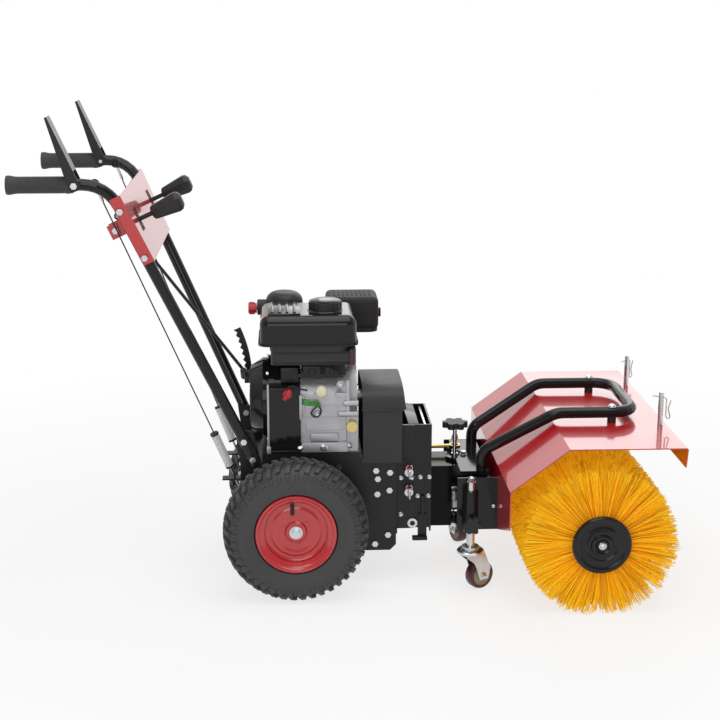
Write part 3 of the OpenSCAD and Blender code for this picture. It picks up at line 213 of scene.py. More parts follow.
black_paint = coated("black_powder_coat", (0.010, 0.010, 0.011), (0.018, 0.018, 0.019), 0.36, shine=0.3)
gloss_black = coated("black_gloss_enamel", (0.007, 0.007, 0.008), (0.012, 0.012, 0.013), 0.10, shine=0.3,
    peel=0.02)
# A darker, duller copy of the gloss black: painted shade, used on the adapter's front.
shaded_gloss_black = coated("black_gloss_painted_shade", (0.004, 0.004, 0.004), (0.007, 0.007, 0.007), 0.14, shine=0.1,
    peel=0.02)
satin_black = coated("black_satin_cover", (0.028, 0.028, 0.029), (0.040, 0.040, 0.041), 0.46, shine=0.3,
    peel=0.12)
black_plastic = coated("black_moulding", (0.016, 0.016, 0.017), (0.026, 0.026, 0.027), 0.44, shine=0.3,
    grain=420.0, peel=0.16)
stove_black = coated("black_stove_paint", (0.014, 0.013, 0.013), (0.030, 0.028, 0.026), 0.58, shine=0.25,
    grain=300.0, peel=0.2)
grip_rubber = coated("grip_rubber", (0.046, 0.044, 0.045), (0.066, 0.063, 0.064), 0.62, shine=0.25,
    grain=520.0, peel=0.3)
belt_rubber = coated("belt_rubber", (0.020, 0.020, 0.020), (0.035, 0.034, 0.033), 0.7, shine=0.25,
    grain=300.0, peel=0.3)
red_plastic = coated("red_moulding", (0.50, 0.015, 0.020), (0.38, 0.008, 0.012), 0.33, peel=0.06)
cream_plastic = coated("cream_moulding", (0.80, 0.74, 0.55), (0.70, 0.62, 0.43), 0.42, peel=0.06)
green_wire = coated("green_wire", (0.06, 0.30, 0.05), (0.03, 0.20, 0.03), 0.42, peel=0.05)
bright_zinc = coated("bright_zinc", (0.70, 0.71, 0.72), (0.52, 0.53, 0.55), 0.24, 1.0, grain=900.0,
    peel=0.05, patch=60.0)
steel = coated("machined_steel", (0.50, 0.50, 0.51), (0.36, 0.36, 0.37), 0.34, 1.0, grain=600.0, peel=0.08,
    patch=40.0)
yellow_zinc = coated("yellow_zinc", (0.74, 0.50, 0.16), (0.60, 0.52, 0.24), 0.28, 1.0, patch=70.0,
    peel=0.05)
cast_aluminium = coated("cast_aluminium", (0.55, 0.55, 0.57), (0.41, 0.41, 0.43), 0.48, 0.70, grain=420.0,
    peel=0.35, patch=28.0)
caster_tread = coated("caster_tread", (0.085, 0.012, 0.020), (0.055, 0.010, 0.016), 0.38, peel=0.06)
grey_plate = coated("grey_wheel_core", (0.34, 0.34, 0.22), (0.25, 0.25, 0.15), 0.45, peel=0.1)
print("plain finishes", len(bpy.data.materials))

# %% [markdown]
# The hood, rims and control panel are red gloss enamel. A clear top layer gives it the sharp, pale
# reflections seen on the hood, so the coat does the shine while the colour below stays deep.

# %% Red enamel
red_enamel = coated("red_enamel", (0.56, 0.008, 0.012), (0.47, 0.005, 0.009), 0.30, grain=350.0, peel=0.03,
    patch=6.0, drift=0.1)
red_enamel.feed(coat_weight=1.0, coat_roughness=0.06)
print("red enamel", red_enamel.material.name)

# %% [markdown]
# Tyre rubber is dull black, greyer where it has bloomed, and its side walls carry fine moulded rings.
# Rings could be modelled; at half a millimetre they are better as raised shading, from the distance
# to the axle.

# %% Tyre rubber
tyre_rubber = Finish("tyre_rubber", specular_ior_level=0.45)
TREAD_FOOT = 0.138
tx, _, tz = tyre_rubber.place.axes()
wheel_x, wheel_z = tx + AXLE_TO_MIDDLE / 1000, tz - AXLE_Z / 1000
from_axle = (wheel_x * wheel_x + wheel_z * wheel_z).root()
bloom = tyre_rubber.place.noise(22.0, 5.0)
pores = tyre_rubber.place.noise(800.0, 2.0)
rings = (from_axle * 2100).wave() * (1 - (from_axle > TREAD_FOOT))
rubber = bloom.mix((0.034, 0.034, 0.036), (0.060, 0.060, 0.063))
tyre_rubber.feed(base_color=rubber, roughness=0.40 + bloom * 0.25)
tyre_rubber.raised(pores * 0.5 + rings * 0.35, 0.35)
print("tyre rubber", tyre_rubber.material.name)

# %% [markdown]
# Bristles are orange polypropylene. Their colour is painted darker and redder near the core, as painted
# shade where little light gets in, and some whole tufts are painted darker: partly their own colour,
# partly painted shade for the gaps between tufts. The distance from the brush's axis drives the first.
# A noise over the direction from the axis drives the second, so that one darkness runs along a whole
# tuft. Light also glows through such thin plastic; a painted glow of the strands' own light stands in
# for that and lifts their shade, which is far quicker than scattering inside thousands of strands.

# %% Bristle plastic
BRUSH = (670, 0, 164)
bristle = Finish("orange_bristle", specular_ior_level=0.3)
bx, by, bz = bristle.place.axes()
core_x, core_z = bx - at(BRUSH).x, bz - at(BRUSH).z
from_core = (core_x * core_x + core_z * core_z).root()
# Painted shade: the colour darkens and reddens from the tips towards the core.
depth = from_core.node("ShaderNodeMapRange", None, {0: from_core, 1: 0.05, 2: 0.17}).ramp(
    (0.0, (0.75, 0.30, 0.002)), (0.3, (1.0, 0.53, 0.006)),
    (0.8, (1.0, 0.61, 0.010)), (1.0, (1.0, 0.65, 0.018)))
way_out = from_core.node("ShaderNodeCombineXYZ", None,
    {0: core_x / from_core, 1: by * 6, 2: core_z / from_core})
# Painted shade between tufts, mixed with their own colour: this noise darkens whole tufts.
tuft_tone_and_shade = way_out.noise(19.0, 2.0)
shade = tuft_tone_and_shade.ramp((0.36, (0.62, 0.48, 0.34)), (0.5, (1, 1, 1)))
multiply = {"data_type": "RGBA", "blend_type": "MULTIPLY"}
painted_shade_bristle_colour = depth.node("ShaderNodeMix", multiply, {0: 1.0, 6: depth, 7: shade}, 2)
# The emission is a painted glow of the bristles' own colour, which brightens them.
bristle.feed(base_color=painted_shade_bristle_colour, roughness=0.42 + tuft_tone_and_shade * 0.15, emission_color=painted_shade_bristle_colour, emission_strength=0.19)
print("bristle", bristle.material.name)

# %% [markdown]
# The cable springs sit in clear plastic sleeves. A thin see-through skin with a milky scatter reads
# better than true glass, because so thin a tube hardly bends light.

# %% Clear sleeve
clear_sleeve = Finish("clear_sleeve", base_color=(0.86, 0.88, 0.90), roughness=0.25)
clear_sleeve.feed(alpha=0.34 + clear_sleeve.place.noise(160.0) * 0.3)
print("sleeve", clear_sleeve.material.name)

# %% [markdown]
# Each solid of the frame takes one of these finishes. A few solids are made of two materials in real
# life, such as the hood with its bright posts, so their faces are sorted by place into two slots.

# %% Dress the frame
dress = {
    black_paint: "side_plates chassis_tray engine_bed hitch_frame "
    "shift_quadrant shift_rod gearbox_case brush_spindle drive_lever brush_lever",
    gloss_black: "handle_tubes guard_bar fuel_tank recoil_cover blower_housing adapter_frame head_frame",
    satin_black: "belt_cover engine_shroud",
    black_plastic: "air_filter caster_knob_right caster_knob_left lock_knob "
    "speed_lever angle_lever fuel_cap starter_grip",
    stove_black: "muffler",
    grip_rubber: "hand_grips",
    belt_rubber: "drive_belts",
    red_enamel: "control_panel rims hood",
    red_plastic: "engine_switch choke_knob hitch_pins",
    cast_aluminium: "crankcase",
    steel: "axle_bearings crankshaft drive_shaft drive_disc friction_shaft input_shaft "
    "drive_cable brush_cable",
    bright_zinc: "machine_bolts drive_axle caster_stem_right caster_stem_left "
    "caster_fork_right caster_fork_left clip_right clip_left",
    yellow_zinc: "oil_plug angle_rod",
    tyre_rubber: "tyres",
    caster_tread: "caster_wheel_right caster_wheel_left",
    bristle: "bristles_right bristles_left",
}
for made, names in dress.items():
    for name in names.split():
        mesh = frame["nodes"][name].data
        mesh.materials.clear()
        mesh.materials.append(made.material)


def second_finish(node, made, chosen):
    mesh = frame["nodes"][node].data
    mesh.materials.append(made.material)
    for face in mesh.polygons:
        x, y, z = face.center * 1000
        face.material_index = int(chosen(x + AXLE_TO_MIDDLE, abs(y), z))


second_finish("hood", bright_zinc, lambda x, y, z: z > 388.6)
second_finish("hitch_pins", bright_zinc, lambda x, y, z: y > 112)
second_finish("guard_bar", black_plastic, lambda x, y, z: x > 600 and z < 398 and 119 < y < 141)
second_finish("fuel_tank", satin_black, lambda x, y, z: z < 569.5)
# The adapter's front takes the darker copy of the gloss black as painted shade.
second_finish("adapter_frame", shaded_gloss_black, lambda x, y, z: x > 317)
second_finish("lock_knob", bright_zinc, lambda x, y, z: z < 341)
for cable in ("drive_cable", "brush_cable"):
    second_finish(cable, black_plastic, lambda x, y, z: z > 372)
print("dressed", sum(len(n.split()) for n in dress.values()), "solids")

# %% [markdown]
# New pieces are gathered in a Shape: turned forms, swept wires, rounded blocks and bolts, all in
# millimetres from the axle. Blender's own primitives would each be a separate object; gathering them
# keeps one casting or one set of fasteners in one piece.

# %% A maker's kit
class Shape:
    def __init__(self):
        self.corners = []
        self.faces = []

    def add(self, corners, faces):
        start = len(self.corners)
        self.corners += [Vector(c) for c in corners]
        self.faces += [[start + i for i in face] for face in faces]
        return self

    def turn(self, centre, axis, profile, steps=48, closed=False):
        """A turned form: profile is (radius, distance along the axis) pairs."""
        a = Vector(axis).normalized()
        u = a.orthogonal().normalized()
        v = a.cross(u)
        corners, faces = [], []
        for radius, along in profile:
            for k in range(steps):
                t = 2 * math.pi * (k + 0.5) / steps
                corners.append(Vector(centre) + a * along + radius * (math.cos(t) * u + math.sin(t) * v))
        rows = len(profile)
        for i in range(rows if closed else rows - 1):
            j = (i + 1) % rows
            for k in range(steps):
                m = (k + 1) % steps
                faces.append([i * steps + k, i * steps + m, j * steps + m, j * steps + k])
        if not closed:
            faces += [list(range(steps)), list(range((rows - 1) * steps, rows * steps))]
        return self.add(corners, faces)

    def wire(self, points, radius, sides=8, smooth=6):
        """A round wire along a smooth curve through points."""
        way = curve(points, smooth)
        corners, faces = [], []
        heading = (way[1] - way[0]).normalized()
        u = heading.orthogonal().normalized()
        for i, p in enumerate(way):
            heading = (way[min(i + 1, len(way) - 1)] - way[max(i - 1, 0)]).normalized()
            u = (u - u.dot(heading) * heading).normalized()
            v = heading.cross(u)
            for k in range(sides):
                t = 2 * math.pi * k / sides
                corners.append(p + radius * (math.cos(t) * u + math.sin(t) * v))
        for i in range(len(way) - 1):
            for k in range(sides):
                m = (k + 1) % sides
                faces.append([i * sides + k, i * sides + m, (i + 1) * sides + m, (i + 1) * sides + k])
        last = (len(way) - 1) * sides
        return self.add(corners, faces + [list(range(sides)), list(range(last, last + sides))])

    def block(self, low, high, edge=1.5, turned=None):
        """A block with rounded edges, turned about its own middle by a matrix where one is given."""
        cube = bmesh.new()
        bmesh.ops.create_cube(cube, size=1.0)
        low, high = Vector(low), Vector(high)
        size = high - low
        for corner in cube.verts:
            corner.co = Vector(c * s for c, s in zip(corner.co, size))
        rounds = 2 if edge < 6 else 5
        bmesh.ops.bevel(cube, geom=list(cube.edges), offset=edge, segments=rounds, profile=0.55,
            affect="EDGES")
        spin = turned or Matrix.Identity(3)
        corners = [(low + high) / 2 + spin @ c.co for c in cube.verts]
        self.add(corners, [[c.index for c in f.verts] for f in cube.faces])
        cube.free()
        return self

    def bolt(self, place, axis, across=13.0, head=6.0, washer=True):
        """A hexagon head, domed a little, on its washer."""
        r = across / 2 / math.cos(math.pi / 6)
        if washer:
            self.turn(place, axis, [(r * 1.25, 0), (r * 1.25, 1.4), (r * 1.1, 1.8)], 28)
        base = 1.6 if washer else 0
        return self.turn(place, axis, [(r, base), (r, base + head * 0.8), (r * 0.84, base + head)], 6)

    def piece(self, name, body, made, slot, sharp=38):
        mesh = bpy.data.meshes.new(name)
        mesh.from_pydata([at(c) for c in self.corners], [], self.faces)
        shell = bmesh.new()
        shell.from_mesh(mesh)
        bmesh.ops.recalc_face_normals(shell, faces=shell.faces)
        shell.to_mesh(mesh)
        shell.free()
        mesh.shade_smooth()
        mesh.set_sharp_from_angle(angle=math.radians(sharp))
        mesh.materials.append(made.material)
        thing = bpy.data.objects.new(name, mesh)
        bpy.context.scene.collection.objects.link(thing)
        if body:
            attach(thing, body)
        print(name, "on", body, "faces", len(mesh.polygons))
        return thing


def curve(points, steps):
    """Points on a smooth curve through the given ones."""
    p = [Vector(q) for q in points]
    p = [2 * p[0] - p[1]] + p + [2 * p[-1] - p[-2]]
    way = []
    for a, b, c, d in zip(p, p[1:], p[2:], p[3:]):
        for k in range(steps):
            t = k / steps
            second = (2 * a - 5 * b + 4 * c - d) * t ** 2
            third = (3 * b - a - 3 * c + d) * t ** 3
            way.append(0.5 * (2 * b + (c - a) * t + second + third))
    return way + [p[-2]]


SIDES = (-1, 1)
print("kit ready")

# %% [markdown]
# The floor is a plain pale sheet. For the camera it is partly its own light, so it stays near white and
# still shows the machine's soft shadow; further out it turns into light alone, so no horizon shows. A
# curved backdrop could do that too, but its edge would show from other sides.

# %% Floor
floor_mesh = bpy.data.meshes.new("floor")
floor_mesh.from_pydata([(-9, -9, 0), (9, -9, 0), (9, 9, 0), (-9, 9, 0)], [], [(0, 1, 2, 3)])
floor = bpy.data.objects.new("floor", floor_mesh)
bpy.context.scene.collection.objects.link(floor)
pale = bpy.data.materials.new("pale_floor")
pale.use_nodes = True
floor_tree = pale.node_tree
floor_tree.nodes.remove(floor_tree.nodes["Principled BSDF"])
start = Wire(floor_tree, None)
rays = [start.node("ShaderNodeLightPath", out=name) for name in ("Is Camera Ray", "Is Glossy Ray")]
spot = start.node("ShaderNodeTexCoord", out="Object")
speck = spot.noise(3.0, 6.0)
fx, fy, _ = spot.axes()
far_out = (fx * fx + fy * fy).root()
away = start.node("ShaderNodeMapRange", None, {0: far_out, 1: 0.8, 2: 2.0, 3: 0.74, 4: 1.0})
matt = speck.mix((0.90, 0.90, 0.90), (0.86, 0.855, 0.85))
sheet = start.node("ShaderNodeBsdfDiffuse", None, {"Color": matt})
glow = start.node("ShaderNodeEmission", None, {"Color": (1, 1, 1, 1), "Strength": 1.0})
blend = start.node("ShaderNodeMixShader", None, {0: (rays[0] + rays[1]) * away, 1: sheet, 2: glow})
floor_tree.links.new(blend.socket, floor_tree.nodes["Material Output"].inputs["Surface"])
floor_mesh.materials.append(pale)
print("floor", floor.name)

# %% [markdown]
# The world lights evenly from all round and shows pure white to the camera. Reflections see a white
# wall behind the machine and a dim room in front of it, so black paint stays black on the near side and
# still shines on top. A picture of a studio could light it as well; a few nodes and three soft lamps,
# overhead, near and far, are plainer and need no file.

# %% World and lamps
world = bpy.data.worlds.new("studio")
bpy.context.scene.world = world
world.use_nodes = True
sky = Wire(world.node_tree, None)
kinds = ("Is Camera Ray", "Is Glossy Ray", "Is Transmission Ray")
seen, mirrored, seen_through = [sky.node("ShaderNodeLightPath", out=kind) for kind in kinds]
_, way_y, _ = sky.node("ShaderNodeTexCoord", out="Generated").axes()
mirror = sky.node("ShaderNodeMapRange", None, {0: way_y, 1: -0.7, 2: 0.2, 3: 0.30, 4: 0.95})
strength = (seen + seen_through) * 0.5 + mirrored * (mirror - 0.5) + 0.5
world.node_tree.links.new(strength.socket, world.node_tree.nodes["Background"].inputs["Strength"])
world.node_tree.nodes["Background"].inputs["Color"].default_value = (1, 1, 1, 1)


def lamp(name, place, aim, size, power):
    light = bpy.data.lights.new(name, "AREA")
    light.size = size
    light.energy = power
    thing = bpy.data.objects.new(name, light)
    thing.location = place
    thing.rotation_euler = (Vector(aim) - Vector(place)).to_track_quat("-Z", "Y").to_euler()
    bpy.context.scene.collection.objects.link(thing)


lamp("overhead", (0.2, -0.6, 3.2), (0.0, 0.0, 0.3), 2.6, 46)
lamp("near_side", (-0.6, -3.4, 1.6), (0.1, 0.0, 0.4), 1.8, 22)
lamp("far_side", (0.8, 2.8, 2.0), (0.0, 0.0, 0.5), 2.0, 16)
print("lamps", len(bpy.data.lights))

# %% [markdown]
# A garden tyre is a round carcass with chunky lugs. Displacing a torus would smear the lugs' edges, so
# each lug is its own small block that follows the carcass: its foot is sunk in the rubber, and its top
# is the same patch moved out along the surface.

# %% Carcass and lugs
CROWN = [(157.5, 0), (157, 14), (155, 27), (150, 37), (142, 44), (131, 47.5), (118, 47.5), (104, 44),
    (95, 40.5)]


def on_carcass(s, lift):
    """(radius, across) at s along the carcass's half section, moved out by lift."""
    way = abs(s) * (len(CROWN) - 1)
    i = min(int(way), len(CROWN) - 2)
    (r0, y0), (r1, y1) = CROWN[i], CROWN[i + 1]
    run = math.hypot(r1 - r0, y1 - y0)
    out_r, out_y = (y1 - y0) / run, (r0 - r1) / run
    r = r0 + (r1 - r0) * (way - i) + lift * out_r
    y = y0 + (y1 - y0) * (way - i) + lift * out_y
    return r, math.copysign(y, s)


def lug(shape, centre, side, start, stop, near, far, skew, height):
    """A tread block between two angles, from near to far across the section."""
    cuts, turns = 4, 3
    corners, faces = [], []
    for lift, pinch in ((-2, 0), (height - 1.5, 0.03), (height, 0.10)):
        for i in range(cuts):
            u = pinch + (1 - 2 * pinch) * i / (cuts - 1)
            r, y = on_carcass(near + (far - near) * u, lift)
            for k in range(turns):
                w = pinch + (1 - 2 * pinch) * k / (turns - 1)
                t = math.radians(start + (stop - start) * w + skew * u)
                corners.append(Vector(centre) + Vector((r * math.cos(t), side * y, r * math.sin(t))))
    ring = [i * turns for i in range(cuts)] + [(cuts - 1) * turns + k for k in range(1, turns)]
    ring += [i * turns + turns - 1 for i in range(cuts - 2, -1, -1)] + [k for k in range(turns - 2, 0, -1)]
    layer = cuts * turns
    for a in (0, layer):
        faces += [[a + p, a + q, a + layer + q, a + layer + p] for p, q in zip(ring, ring[1:] + ring[:1])]
    for i in range(cuts - 1):
        for k in range(turns - 1):
            c = 2 * layer + i * turns + k
            faces.append([c, c + 1, c + turns + 1, c + turns])
    shape.add(corners, faces)


print("carcass", CROWN[0], "to", CROWN[-1])

# %% [markdown]
# Both tyres are one piece, because they turn together. The carcass is turned from its section, with a
# bead that sits in the rim. Five staggered rows of lugs, every second one longer, make the tread; the
# last row is only a set of low ribs on the outer side wall.

# %% Tyres
WHEEL_Y = 191
LUGS = 44
BEAD = [(93.2, 36), (91, 31), (78, 29)]
tyres = Shape()
for side in SIDES:
    hub = (0, side * WHEEL_Y, AXLE_Z)
    half = [on_carcass(k / 40, 0) for k in range(41)]
    section = half + BEAD + [(r, -y) for r, y in BEAD[::-1] + half[:0:-1]]
    tyres.turn(hub, (0, 1, 0), section, 96, True)
    for k in range(LUGS):
        a = k * 360 / LUGS
        shoulder, rib = (0.46, 0.40) if k % 2 else (0.38, 0.48)
        lug(tyres, hub, side, a, a + 4.7, 0.02, 0.16, 2.4, 7.5)
        lug(tyres, hub, side, a + 4.1, a + 8.6, -0.02, -0.16, 2.4, 7.5)
        lug(tyres, hub, side, a + 2.9, a + 7.0, 0.22, shoulder, 1.8, 7.0)
        lug(tyres, hub, side, a - 0.8, a + 3.2, -0.22, -shoulder, 1.8, 7.0)
        lug(tyres, hub, side, a + 4.8, a + 8.2, rib, 0.62, 1.0, 2.6)
treads = tyres.piece("tyre_treads", "wheels", tyre_rubber, "tyre_rubber", 40)
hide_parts("tyres")

# %% [markdown]
# The wheel's rim is spun from sheet: a rolled edge, a step for the tyre's bead, a shallow dish and a
# welded hub. Turning one profile round the axle is how it is really made, and gives smooth highlights.

# %% Rims
rim_face = [(91, 33), (91.8, 37), (90.5, 40), (87.5, 40.6), (84.5, 39), (82, 35.5), (77.5, 33.5),
    (74.5, 31), (73, 25), (71, 20.5), (66, 17.5), (60, 17.2), (57, 18.4), (54, 20.2), (50, 20.4),
    (44, 17.6), (36, 17.2), (30, 18.6), (24, 19.2)]
hub_tube = [(10.6, -39), (22, -39), (22, 18), (25.5, 20), (22, 23.6), (10.6, 24)]
inner_well = [(71.5, 28), (75, 28), (75, -33), (88, -36), (90, -40), (86, -40), (71.5, -34)]
rims = Shape()
for side in SIDES:
    hub = (0, side * WHEEL_Y, AXLE_Z)
    back = [(r - 2.6 if r > 70 else r, y - 2.8) for r, y in rim_face[::-1]]
    rims.turn(hub, (0, side, 0), rim_face + back, 72, True)
    rims.turn(hub, (0, side, 0), hub_tube, 48, True)
    rims.turn(hub, (0, side, 0), inner_well, 72, True)
    for k in range(3):
        t = math.radians(120 * k + 40)
        place = Vector(hub) + Vector((30 * math.cos(t), side * 18.4, 30 * math.sin(t)))
        rims.turn(place, (0, side, 0), [(4.5, 0), (4.5, 1.6), (3, 2.4)], 20)
rim_shells = rims.piece("rim_shells", "wheels", red_enamel, "red_paint", 30)
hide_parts("rims")

valves = Shape()
valve = [(6, -4), (6, 4), (4.6, 8), (4.2, 20), (4.4, 21), (4.4, 30), (3.4, 32)]
for side in SIDES:
    valves.turn((-8, side * (WHEEL_Y + 20), 238), (0, side * 0.55, -0.83), valve, 24)
valves.piece("valve_stems", "wheels", black_plastic, "black_plastic")

# %% [markdown]
# The brush is thousands of filaments, set in rows of tufts. Hair particles would not leave Blender, so
# the strands are made as real thin prisms, all at once with numpy. Each tuft leans its own way, every
# filament bends a little, and those that meet the floor fold over instead of passing through it.

# %% Bristles
def filaments(side, count, seed):
    """Corners and faces of one half of the brush, in metres."""
    rng = np.random.default_rng(seed)
    rows, tufts = 46, 52
    row = rng.integers(0, rows, count)
    tuft = rng.integers(0, tufts, count)
    lean = rng.normal(0, 0.7, (rows, tufts)) + rng.normal(0, 0.7, tufts)
    angle = (tuft + 0.5 * (row % 2)) * 2 * np.pi / tufts + rng.normal(0, 0.026, count)
    across = 46.5 + (row + 0.5 + rng.normal(0, 0.28, count)) * (275 / rows)
    across = np.clip(across, 46.5, 320.5)
    reach = 172 + rng.normal(0, 1.6, count) - np.abs(lean[row, (tuft * 7) % tufts]) * 3.5
    sway = lean[row, tuft] * 0.045 + rng.normal(0, 0.018, count)
    splay = (across - 184) / 138 * 4.0 + rng.normal(0, 2.2, count) + lean[tuft % rows, row % tufts] * 1.6
    steps = 4
    width = rng.uniform(0.95, 1.35, count)
    corners = np.zeros((count, steps, 3, 3))
    for i in range(steps):
        u = i / (steps - 1)
        radius = 47 + (reach - 47) * u
        turn = angle + sway * u ** 1.6
        x = radius * np.sin(turn)
        z = BRUSH[2] + radius * np.cos(turn)
        y = across + splay * u ** 1.5
        deep = np.maximum(0, 1.6 - z)
        z = np.where(deep > 0, 1.6 + 0.25 * width + rng.uniform(0, 3.0, count) * (deep > 4), z)
        x = x + np.where(x < 0, -1, 1) * deep * 0.5 + np.sign(sway) * deep * 0.25
        thick = width * (1 - 0.25 * u)
        for k in range(3):
            t = 2 * np.pi * k / 3
            corners[:, i, k, 0] = BRUSH[0] + x + thick * np.cos(t) * np.cos(turn)
            corners[:, i, k, 1] = side * (y + thick * np.sin(t))
            corners[:, i, k, 2] = z - thick * np.cos(t) * np.sin(turn)
    flat = (corners.reshape(-1, 3) - (AXLE_TO_MIDDLE, 0, 0)) / 1000
    start = (np.arange(count) * steps * 3)[:, None]
    faces = []
    for i in range(steps - 1):
        for k in range(3):
            m = (k + 1) % 3
            faces.append(start + np.array([[3 * i + k, 3 * i + m, 3 * i + 3 + m, 3 * i + 3 + k]]))
    return flat, np.concatenate(faces)


halves = (("filaments_right", "bristles_right", -1), ("filaments_left", "bristles_left", 1))
for name, node, side in halves:
    corners, faces = filaments(side, 11000, 7 + side)
    mesh = bpy.data.meshes.new(name)
    mesh.from_pydata(corners.tolist(), [], faces.tolist())
    mesh.shade_smooth()
    mesh.materials.append(bristle.material)
    half = bpy.data.objects.new(name, mesh)
    bpy.context.scene.collection.objects.link(half)
    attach(half, "brush")
    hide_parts(node)
    print(name, "filaments", len(corners) // 12)

core = Shape()
for side in SIDES:
    core.turn(BRUSH, (0, side, 0), [(45.1, 45), (50, 45), (50, 321), (45.1, 321)], 48, True)
core.piece("bristle_backing", "brush", bristle, "bristle")

# %% [markdown]
# Each end of the brush is closed by a pressed black disc with stepped rings, and a bolt holds it on the
# shaft. The rings catch the light, so the profile is turned with small rounded steps.

# %% Brush ends
end_rings = [(12, 327.3), (16, 331), (20, 332.2), (24, 331), (26, 328), (33, 327.6), (36, 329.4),
    (39, 329.4), (42, 327.8), (51, 327.6), (54, 330), (58, 331), (62, 330.2), (65.5, 327),
    (66, 322.5), (60, 321.6), (12, 321.6)]
discs, end_bolts = Shape(), Shape()
for side in SIDES:
    discs.turn(BRUSH, (0, side, 0), end_rings, 64, True)
    end_bolts.turn(BRUSH, (0, side, 0), [(8.5, 330.6), (8.5, 332.2), (7.4, 332.8)], 32)
    end_bolts.turn(BRUSH, (0, side, 0), [(6.4, 332), (6.4, 336), (5.0, 337.2)], 6)
discs.piece("brush_end_discs", "brush", gloss_black, "black_paint", 30)
end_bolts.piece("brush_end_bolts", "brush", bright_zinc, "zinc_plate")

# %% [markdown]
# The casters have a maroon tread on a pale core, with a bright dust cap over the bearing. Their wheels
# stand at the angles they were left in, so each takes its place and axis from its own joint.

# %% Caster wheels
caster_ring = [(24, -11.5), (28, -12.4), (31.5, -11), (32.9, -7), (33, 0), (32.9, 7), (31.5, 11),
    (28, 12.4), (24, 11.5)]
caster_core = [(5.1, -12), (9, -12.2), (13, -9.5), (20, -9.2), (24.4, -11.6), (24.4, 11.6), (20, 9.2),
    (13, 9.5), (9, 12.2), (5.1, 12)]
for name in ("right", "left"):
    joint = next(j for j in frame["joints"] if j["name"] == "caster_roll_" + name)
    x, y, z = (1000 * c for c in joint["pos_m"])
    middle, axis = (x + AXLE_TO_MIDDLE, y, z), joint["axis"]
    tread = Shape().turn(middle, axis, caster_ring, 56, True)
    wheel = tread.piece("caster_tread_" + name, "caster_" + name, caster_tread, "caster_tread")
    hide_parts("caster_wheel_" + name)
    plate = Shape().turn(middle, axis, caster_core, 48, True)
    plate.piece("caster_core_" + name, "caster_" + name, grey_plate, "caster_tread")
    nuts = Shape()
    for way in SIDES:
        out = Vector(axis) * way
        nuts.turn(Vector(middle) + out * 17.0, out, [(8.5, 0), (8.5, 1.5), (7.2, 2.2)], 28)
        nuts.turn(Vector(middle) + out * 19.0, out, [(6.2, 0), (6.2, 4), (4.6, 5.4), (2.4, 6.2)], 6)
    nuts.piece("caster_nuts_" + name, "fork_" + name, bright_zinc, "zinc_plate")

ball_race = [(29, 90.6), (31.2, 93), (31.2, 97.5), (28, 100.2), (20, 101), (20, 90.6)]
acorn_nut = [(9.2, 261.6), (9.2, 264), (8, 270), (6.6, 272.5), (3.5, 274)]
for name, side in (("right", -1), ("left", 1)):
    stem = (400, side * 168, 0)
    race = Shape().turn(stem, (0, 0, 1), ball_race, 56, True)
    race.piece("caster_race_" + name, "fork_" + name, bright_zinc, "zinc_plate")
    nut = Shape().turn(stem, (0, 0, 1), acorn_nut, 6)
    nut.piece("caster_stem_nut_" + name, "stem_" + name, bright_zinc, "zinc_plate")

# %% [markdown]
# The grips are moulded rubber sleeves with a flared end and fine ribs for the fingers. The ribs are
# turned into the profile, because they also show in the outline.

# %% Hand grips
grips = Shape()
for side in SIDES:
    outer = [(16, 0.0), (19.4, 0.6), (20.2, 3), (20.2, 9), (19, 14), (17.9, 20)]
    for k in range(22):
        x = 24 + k * 4.4
        outer += [(17.9, x), (17.9, x + 2.0), (17.4, x + 2.7), (17.4, x + 3.7)]
    outer += [(17.9, 122), (18.5, 124), (18.5, 131), (17.9, 133)]
    grips.turn((-595, side * 232, 951), (1, 0, 0), outer + [(12.6, 133), (12.6, 4)], 40, True)
sleeves = grips.piece("grip_sleeves", "tractor", grip_rubber, "grip_rubber", 30)
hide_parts("hand_grips")

# %% [markdown]
# The engine's crankcase is a sand-cast aluminium block. Its bosses, ribs and machined pads are what
# tell the eye it is a casting, so they are laid on the plain block as rounded blocks and turned bosses,
# each sunk a little so that no gap shows.

# %% Crankcase casting
FACE = -103
casting = Shape()
pads = ((118, 126, 332, 488, 4, 2), (16, 122, 319, 343, 9, 3), (36, 100, 345, 364, 7, 3),
    (60, 118, 425, 429, 2.5, 1.2), (94, 119, 449, 459, 4, 1.8), (24, 114, 369, 372, 2, 1),
    (24, 100, 400, 403, 2, 1), (24, 27, 371, 401, 2, 1), (16, 24, 404, 452, 5, 2))
for rear, front, foot, top, proud, edge in pads:
    casting.block((rear, FACE - proud, foot), (front, FACE + 3, top), edge)
for z, near, far in ((433, 112, 146), (408, 100, 146)):
    run = far - near
    casting.turn((near, FACE - 1, z), (1, 0, 0), [(5, 0), (6.5, 1.2), (6.5, run - 1), (5.5, run)], 24)
bosses = ((30, 440), (52, 408), (104, 478))
for x, z in bosses:
    casting.turn((x, FACE + 1, z), (0, -1, 0), [(9, 0), (8, 4.5), (6.8, 5.4)], 32)
# The slim upright strips at the blower housing's rear and front edges are pale cast aluminium; their pale
# colour also paints the bright highlight along those edges.
casting.block((-62, -114, 318), (-57, -98, 480), 2)
casting.block((-64, -116, 318), (-54, -98, 336), 2.5)
casting.block((11, -114, 398), (17, -103, 456), 1.8)
casting.piece("crankcase_casting", "tractor", cast_aluminium, "cast_aluminium")

